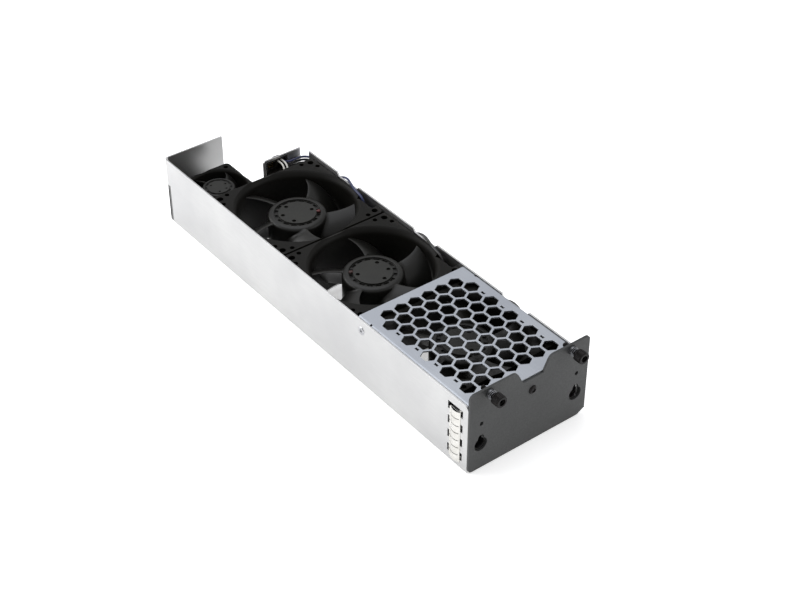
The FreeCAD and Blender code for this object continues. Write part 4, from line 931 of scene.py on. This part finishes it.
@dataclass
class CoilSpring:
    """The spring behind a thumbscrew's knob: open coils with a closed one at each end."""

    side: str
    wire: float = 0.52
    coil_radius: float = 2.5
    open_turns: float = 3.0
    closed_gap: float = 0.03
    travel: float = 2.7

    def build(self) -> None:
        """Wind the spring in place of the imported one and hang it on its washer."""
        node = f"screw_spring_{self.side}"
        low, high, middle = box_of(node)
        length = (high.y - low.y) / MM
        closed = self.wire + self.closed_gap
        sizes = {"wire": self.wire / 2 * MM, "coil": self.coil_radius * MM, "turns": self.open_turns,
                 "closed": closed * MM, "open": (length - self.wire - 2 * closed) * MM,
                 "start": self.wire / 2 * MM}
        recipe = Recipe(node + "_recipe", sizes, DRAWN_SPRING_WIRE)
        found = recipe.work_out({name: recipe.given[name] for name in sizes},
                                "one ADD start closed; two ADD one open")
        recipe.end([recipe.coil(turns, found["coil"], found[height], found[start], found["wire"], 10)
                    for turns, height, start in ((1.0, "closed", "start"), (found["turns"], "open", "one"),
                                                 (1.0, "closed", "two"))])
        foot = (middle.x, low.y, middle.z)
        made = recipe.run(bpy.data.meshes.new("wire"), Matrix.Translation(foot) @ Axis.ALONG.value)
        piece = settle(node + "_wound", made, f"{self.side}_screw_washer", [node], sharp=60.0)
        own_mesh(piece)


class Drive(Enum):
    """Shape of the recess in a screw's head, as the number of its cutter's corners."""

    CROSS = 4
    HEXAGON = 6


@dataclass
class ScrewSet:
    """Screws of one size, one at each middle given. Lengths are in millimetres.

    The shape stands along its axis with the head's bearing face at none and the shank above it.
    """

    node: str
    slot: str
    axis: Axis
    face: float
    head_radius: float
    head_height: float
    shank_radius: float
    length: float
    drive: Drive = Drive.CROSS
    dome: float = 0.55
    finish: Finish = TURNED_STEEL
    crown_reach: float = 0.72
    rim_height: float = 0.35
    recess_reach: float = 0.55
    point: float = 0.5

    def turned(self) -> bpy.types.Mesh:
        """Turn one screw, its head domed or flat-topped with a rounded rim.

        Returns:
            The screw without its recess.
        """
        head, shank, top = self.head_radius, self.shank_radius, -self.head_height
        crown = self.head_height * self.dome
        outline = [(0, top, 0), (head * self.crown_reach, top, crown),
                   (head, top * self.rim_height, crown * 0.6), (head, 0, 0.06), (shank, 0, 0.05),
                   (shank, self.length - self.point, 0), (shank - 0.4, self.length, 0), (0, self.length, 0)]
        return lathe(eased(outline, 4), 36)

    def places(self) -> list[Vector]:
        """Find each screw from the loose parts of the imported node.

        Returns:
            The middle of each part's box.
        """
        shape = bmesh.new()
        shape.from_mesh(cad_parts[self.node].data)
        bmesh.ops.remove_doubles(shape, verts=shape.verts, dist=1e-6)
        left, found = set(shape.verts), []
        while left:
            part, edge = set(), [left.pop()]
            while edge:
                vert = edge.pop()
                part.add(vert)
                for other in (link.other_vert(vert) for link in vert.link_edges):
                    if other in left:
                        left.remove(other)
                        edge.append(other)
            low, high = (Vector([extreme(v.co[k] for v in part) for k in range(3)]) for extreme in (min, max))
            found.append((low + high) / 2)
        shape.free()
        return found

    def cutter(self, recipe: Recipe) -> Socket:
        """Make the shape that cuts the recess.

        Args:
            recipe: The tree that it is made in.

        Returns:
            The cutter, about the origin.
        """
        given = recipe.given
        if self.drive is Drive.HEXAGON:
            return recipe.add("GeometryNodeMeshCylinder", {
                "Vertices": given["corners"], "Radius": given["recess_radius"],
                "Depth": given["recess_depth"]}).outputs[0]
        wide = recipe.work_out({"radius": given["recess_radius"]},
                               "long MULTIPLY radius 2; thin MULTIPLY radius 0.5")
        bars = [recipe.block(wide[first], wide[second], given["recess_depth"])
                for first, second in (("long", "thin"), ("thin", "long"))]
        return recipe.add("GeometryNodeJoinGeometry", {0: bars}).outputs[0]

    def build(self) -> None:
        """Cut the recess and set a screw at each place."""
        sizes = {"corners": self.drive.value, "recess_radius": self.head_radius * self.recess_reach * MM,
                 "recess_depth": self.head_height * MM, "recess_face": -self.head_height * MM}
        recipe = Recipe(self.node + "_recipe", sizes, self.finish)
        given = recipe.given
        screw = recipe.add("GeometryNodeMeshBoolean",
                           {"Self Intersection": True, 0: given["Geometry"],
                            1: recipe.raised(self.cutter(recipe), given["recess_face"])},
                           **CUT)
        spots = [self.axis.value.inverted() @ place for place in self.places()]
        points = [recipe.add("GeometryNodePoints", {"Position": (spot.x, spot.y, self.face * MM)}).outputs[0]
                  for spot in spots]
        joined = recipe.add("GeometryNodeJoinGeometry", {0: points})
        copies = recipe.add("GeometryNodeInstanceOnPoints", {"Points": joined.outputs[0],
                                                             "Instance": screw.outputs[0]})
        recipe.end([copies.outputs[0]])
        made = recipe.run(self.turned(), self.axis.value)
        settle(self.node + "_turned", made, TRAY, [self.node])


@dataclass
class Rivets:
    """The two closed rivets that hold the cover's tabs to the walls. Lengths are in millimetres."""

    node: str = "cover_rivets"
    head_radius: float = 2.9
    head_rise: float = 0.5
    shank_radius: float = 1.2
    grip: float = 2.15
    dimple: float = 0.95
    crown_reach: float = 0.8
    foot_reach: float = 0.95
    foot_crown: float = 0.75

    def build(self) -> None:
        """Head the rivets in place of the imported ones, one on each side."""
        _, high, middle = box_of(self.node)
        head, rise, shank, grip = self.head_radius, self.head_rise, self.shank_radius, self.grip
        outline = [(0, -rise, 0), (self.dimple - 0.2, -rise, 0), (self.dimple + 0.1, rise, 0.1),
                   (head * self.crown_reach, rise, 0.25), (head, 0, 0.1), (shank, 0, 0), (shank, -grip, 0),
                   (head * self.foot_reach, -grip, 0.05), (head * self.foot_crown, -grip - rise, 0.3),
                   (0, -grip - rise, 0)]
        sizes = {"rivets": len(SIDES), "wall": high.x - rise * MM}
        recipe = Recipe(self.node + "_recipe", sizes, TURNED_STEEL)
        given = recipe.given
        recipe.end([recipe.ring_of(given["Geometry"], given["rivets"], given["wall"], 0.0)])
        made = recipe.run(lathe(eased(outline), 40, Axis.ACROSS), Matrix.Translation((0, middle.y, middle.z)))
        settle(self.node + "_headed", made, TRAY, [self.node])


# ---------------------------------------------------------------- connector and pad
def draw_shell(shape: bmesh.types.BMesh, low: Vector, high: Vector, rings: Sequence[tuple[float, ...]],
               rounding: float) -> None:
    """Draw one closed shell through rectangles inside a box.

    Args:
        shape: The mesh that the shell is added to, in metres.
        low: The box's lowest corner, in metres.
        high: The box's highest corner, in metres.
        rings: For each rectangle its distance behind the box's front, and what it leaves free of
            the box's left, right, bottom and top, in millimetres.
        rounding: Rounding of the edges in millimetres.
    """
    rows = []
    for deep, left, right, bottom, top in rings:
        y, x0, x1 = low.y + deep * MM, low.x + left * MM, high.x - right * MM
        z0, z1 = low.z + bottom * MM, high.z - top * MM
        rows.append([shape.verts.new(spot) for spot in ((x0, y, z0), (x1, y, z0), (x1, y, z1), (x0, y, z1))])
    made = [shape.faces.new(rows[0]), shape.faces.new(rows[-1])]
    for row, onward in zip(rows, rows[1:]):
        made += [shape.faces.new((row[i], row[i - 1], onward[i - 1], onward[i])) for i in range(4)]
    bmesh.ops.recalc_face_normals(shape, faces=made)
    edges = list({edge for face in made for edge in face.edges})
    bmesh.ops.bevel(shape, geom=edges, offset=rounding * MM, segments=2, affect="EDGES")


@dataclass
class EdgePad:
    """The foam pad behind the face plate, outside the right wall. Lengths are in millimetres."""

    wall: str = "right_wall"
    plate: str = "front_plate"
    foot: float = 8.0
    height: float = 18.0
    deep: float = 1.3
    inset: float = 0.5
    rounding: float = 0.15
    crown: tuple[tuple[float, ...], ...] = (
        (0.0, 0.0, 0.0, 0.0, 0.0), (0.7, 0.0, 0.0, 0.0, 0.0), (1.1, 0.5, 0.5, 0.8, 0.8),
        (1.3, 1.2, 1.2, 2.0, 2.0))

    def build(self) -> None:
        """Stick the pad to the plate."""
        wall, plate = box_of(self.wall)[1], box_of(self.plate)[1]
        low = Vector((wall.x, plate.y, self.foot * MM))
        high = Vector((plate.x - self.inset * MM, plate.y + self.deep * MM, (self.foot + self.height) * MM))
        shape = bmesh.new()
        draw_shell(shape, low, high, self.crown, self.rounding)
        pad = to_mesh(shape, "pad")
        pad.materials.append(NEOPRENE_FOAM.material())
        settle("edge_pad", pad, TRAY, [])


@dataclass
class Connector:
    """The moulded socket in the rear flange with its contacts. Lengths are in millimetres.

    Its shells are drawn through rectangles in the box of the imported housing.
    """

    housing: str = "connector_housing"
    contacts: str = "connector_contacts"
    rounding: float = 0.2
    barrel: tuple[tuple[float, ...], ...] = (
        (6.0, 3.0, 1.4, 5.2, 3.8), (3.2, 1.4, 1.4, 5.2, 1.4), (1.0, 1.4, 1.4, 5.2, 1.4),
        (1.0, 0.0, 0.0, 3.8, 0.0), (3.6, 0.0, 0.0, 3.8, 0.0), (8.0, 2.9, 0.0, 3.8, 4.3))
    hood: tuple[tuple[float, ...], ...] = (
        (9.0, 8.6, 1.1, 1.1, 11.3), (14.0, 8.6, 1.1, 1.1, 11.3), (14.0, 7.5, 0.0, 0.0, 10.2),
        (7.2, 2.5, 0.1, 0.0, 3.9))
    brow: tuple[tuple[float, ...], ...] = (
        (3.0, 8.9, 3.5, 8.5, 1.45), (7.1, 8.9, 3.5, 8.5, 1.45), (7.8, 9.2, 3.8, 8.5, 3.0))
    ear: tuple[tuple[float, ...], ...] = ((2.0, 0.0, 0.0, 0.0, 10.8), (4.0, 0.0, 0.0, 0.0, 10.8))
    columns: int = 4
    tail_pitch: float = 2.7
    tail_wide: float = 1.0
    tail_long: float = 2.0
    pin_pitch: float = 1.9
    pin_wide: float = 0.7
    pin_long: float = 4.6
    pin_sunk: float = 0.6

    def build(self) -> None:
        """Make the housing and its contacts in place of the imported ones."""
        low, high, middle = box_of(self.housing)
        shape = bmesh.new()
        for rings in (self.barrel, self.hood, self.brow, self.ear):
            draw_shell(shape, low, high, rings, self.rounding)
        moulded = to_mesh(shape, "moulded")
        moulded.materials.append(BLACK_NYLON.material())
        settle("connector_moulding", moulded, TRAY, [self.housing])
        foot, _, tails = box_of(self.contacts)
        tails.y = foot.y
        deep, left, right, bottom, top = self.hood[1]
        across = middle.x + (left - right) / 2 * MM - tails.x
        down = tails.z - middle.z - (bottom - top) / 2 * MM
        sizes = metres(self, "tail_pitch tail_wide tail_long pin_pitch pin_wide pin_long") | {
            "columns": self.columns, "tail_start": 0.0, "tail_across": 0.0,
            "tail_down": self.tail_pitch / 2 * MM, "tail_up": -self.tail_pitch / 2 * MM,
            "pin_start": low.y - foot.y + (deep - self.pin_sunk - self.pin_long) * MM,
            "pin_across": across, "pin_down": down}
        recipe = Recipe("connector_contacts_recipe", sizes, GOLD_FLASH)
        recipe.end([self.row(recipe, *row) for row in
                    (("tail", "tail_down"), ("tail", "tail_up"), ("pin", "pin_down"))])
        made = recipe.run(bpy.data.meshes.new("contact"), Matrix.Translation(tails) @ Axis.ALONG.value)
        settle("connector_contact_set", made, TRAY, [self.contacts], sharp=60.0)

    def row(self, recipe: Recipe, kind: str, down: str) -> Socket:
        """Set a row of square contacts side by side.

        Args:
            recipe: The tree that the row is made in.
            kind: Which contacts: tail for the leads, or pin for the mating face.
            down: The input that says how far the row stands below the middle.

        Returns:
            The row's copies.
        """
        given = recipe.given
        pitch, wide, long, start, across = (given[f"{kind}_{size}"] for size in
                                            ("pitch", "wide", "long", "start", "across"))
        found = recipe.work_out(
            {"pitch": pitch, "long": long, "start": start, "across": across, "columns": given["columns"],
             "index": recipe.add("GeometryNodeInputIndex").outputs[0]},
            "half SUBTRACT columns 1; half MULTIPLY half 0.5; place SUBTRACT index half",
            "x MULTIPLY_ADD place pitch across; z MULTIPLY_ADD long 0.5 start")
        place = recipe.add("ShaderNodeCombineXYZ", {0: found["x"], 1: given[down], 2: found["z"]}).outputs[0]
        points = recipe.add("GeometryNodePoints", {"Count": given["columns"], "Position": place}).outputs[0]
        return recipe.add("GeometryNodeInstanceOnPoints",
                          {"Points": points, "Instance": recipe.block(wide, wide, long)}).outputs[0]


# ---------------------------------------------------------------- studio
@dataclass
class Softbox:
    """A square soft light that looks at the module."""

    name: str
    place: tuple[float, float, float]
    width: float
    height: float
    power: float
    tint: str = "#ffffff"

    def build(self, target: Vector) -> None:
        """Hang the light and turn it to the target.

        Args:
            target: The point that the light looks at.
        """
        data = bpy.data.lights.new(self.name, "AREA")
        data.shape = "RECTANGLE"
        data.size = self.width
        data.size_y = self.height
        data.energy = self.power
        data.color = linear(self.tint)[:3]
        thing = add_object(self.name, data)
        thing.location = self.place
        thing.rotation_euler = (target - thing.location).to_track_quat("-Z", "Y").to_euler()


@dataclass
class Studio:
    """Pale floor, soft light and the camera."""

    target: tuple[float, float, float] = (0.0076, 0.1244, 0.0240)
    heading: float = 37.69
    tilt: float = 37.50
    distance: float = 0.9970
    lens: float = 72.74
    sensor: float = 36.0
    floor_size: float = 12.0
    floor_gap: float = 0.0005
    floor_glow: float = 0.40
    room_light: float = 0.64
    nearest: float = 0.01
    softboxes: list[Softbox] = field(default_factory=lambda: [
        Softbox("key_softbox", (-0.80, 1.05, 0.50), 1.3, 0.8, 9.5),
        Softbox("top_softbox", (0.00, 0.65, 1.50), 1.6, 1.6, 13.0, "#f6f8ff"),
        Softbox("front_softbox", (0.80, -0.80, 0.45), 0.9, 0.7, 3.5),
    ])

    def camera(self) -> None:
        """Set up the camera by its heading, tilt and distance from the target."""
        heading, tilt = math.radians(self.heading), math.radians(self.tilt)
        forward = Vector((math.sin(heading) * math.cos(tilt), math.cos(heading) * math.cos(tilt),
                          -math.sin(tilt)))
        data = bpy.data.cameras.new("studio_camera")
        data.lens = self.lens
        data.sensor_width = self.sensor
        data.clip_start = self.nearest
        thing = add_object("studio_camera", data)
        thing.location = Vector(self.target) - forward * self.distance
        thing.rotation_euler = forward.to_track_quat("-Z", "Y").to_euler()
        bpy.context.scene.camera = thing

    def floor(self) -> None:
        """Lay the pale floor under the module."""
        half = self.floor_size / 2
        shape = bmesh.new()
        corners = [shape.verts.new((x, y, -self.floor_gap))
                   for x, y in ((-half, -half), (half, -half), (half, half), (-half, half))]
        shape.faces.new(corners)
        data = to_mesh(shape, "studio_floor")
        data.materials.append(self.paper())
        add_object("studio_floor", data)

    def paper(self) -> bpy.types.Material:
        """Make the floor's seamless white paper: matt, with a barely visible tooth.

        Returns:
            The paper's material.
        """
        made = bpy.data.materials.new("seamless_paper")
        made.use_nodes = True
        tree = made.node_tree
        shader = tree.nodes["Principled BSDF"]
        place = add_node(tree, "ShaderNodeTexCoord").outputs["Object"]
        tooth = add_node(tree, "ShaderNodeTexNoise", {"Scale": 900.0, "Detail": 2.0, "Vector": place})
        tone = add_node(tree, "ShaderNodeMix", {0: tooth.outputs["Fac"], MIX_FROM: linear("#fbfbfb"),
                                                MIX_TO: linear("#f5f5f5")}, data_type="RGBA")
        tree.links.new(tone.outputs[MIXED], shader.inputs["Base Color"])
        for name, value in (("Roughness", 0.9), ("Specular IOR Level", 0.1),
                            ("Emission Color", linear("#ffffff")), ("Emission Strength", self.floor_glow)):
            shader.inputs[name].default_value = value
        return made

    def surround(self) -> None:
        """Light the room evenly and show colours as they are."""
        scene = bpy.context.scene
        world = bpy.data.worlds.new("studio_room")
        world.use_nodes = True
        background = world.node_tree.nodes["Background"]
        background.inputs["Color"].default_value = linear("#ffffff")
        background.inputs["Strength"].default_value = self.room_light
        scene.world = world
        scene.view_settings.view_transform = "Standard"

    def build(self) -> None:
        """Set up camera, floor and light."""
        self.camera()
        self.floor()
        self.surround()
        for softbox in self.softboxes:
            softbox.build(Vector(self.target))
            LOG.info("softbox %s", softbox.name)


Piece = Impeller | Putty | Thumbscrew | CoilSpring | ScrewSet | Rivets | Connector | EdgePad


def assembly() -> list[Piece]:
    """List the sub-assemblies in the order that they are made.

    Returns:
        The sub-assemblies, each with a build method.
    """
    turns = (20.0, 33.5, 218.2)
    parts: list[Piece] = [Impeller(f"impeller_{i}", f"rotor_cup_{i}", f"fan_{i}_rotor", turn)
                          for i, turn in zip(LARGE_FANS, turns)]
    parts += [Impeller("small_impeller", "small_rotor_cup", "small_fan_rotor", hub=11.0, hub_height=21.8,
                       wall=1.3, rim=1.2, disc=7.6, groove=9.2, groove_depth=0.6, notches=12, notch_wide=2.4,
                       notch_deep=2.2, notch_across=1.2, dot_circle=5.6, dot_radius=0.75, dot_depth=1.2,
                       tip=18.4, root_low=1.4, root_high=20.4, tip_low=0.75, tip_high=21.1, root_sweep=7.2,
                       tip_sweep=22.5, sweep_bulge=2.4, tip_arch=1.6, root_half=27.5, tip_half=21.4,
                       half_bulge=-10.9, root_thick=1.6, tip_thick=1.0, fillet=0.8),
              Putty("balance_putty_3", "rotor_cup_3", "fan_3_rotor", 330.0),
              Putty("balance_putty_2", "rotor_cup_2", "fan_2_rotor", 143.0, finish=AGED_PUTTY)]
    parts += [kind(side) for side in SIDES for kind in (Thumbscrew, CoilSpring)]
    # each set's node, slot and axis, then bearing face, head radius and height, shank radius, length
    return parts + [
        ScrewSet("fan_screws", "zinc_screw", Axis.UP, 6.0, 3.1, 2.2, 2.0, 9.0),
        ScrewSet("small_fan_screws", "zinc_screw", Axis.UP, 6.0, 2.8, 1.9, 1.6, 8.0),
        ScrewSet("connector_screws", "zinc_screw", Axis.ALONG, 274.8, 1.7, 1.0, 1.0, 6.0),
        ScrewSet("centre_screw", "black_screw", Axis.ALONG, -1.5, 2.9, 1.0, 1.5, 6.0, Drive.HEXAGON, 0.8,
                 BLACK_OXIDE_STEEL),
        Rivets(), Connector(), EdgePad()]


def main() -> None:
    """Build the studio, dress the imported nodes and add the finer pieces."""
    logging.basicConfig(level=logging.INFO, format="%(name)s: %(message)s")
    Studio().build()
    coat_nodes()
    for piece in assembly():
        piece.build()


if __name__ == "__main__":
    main()
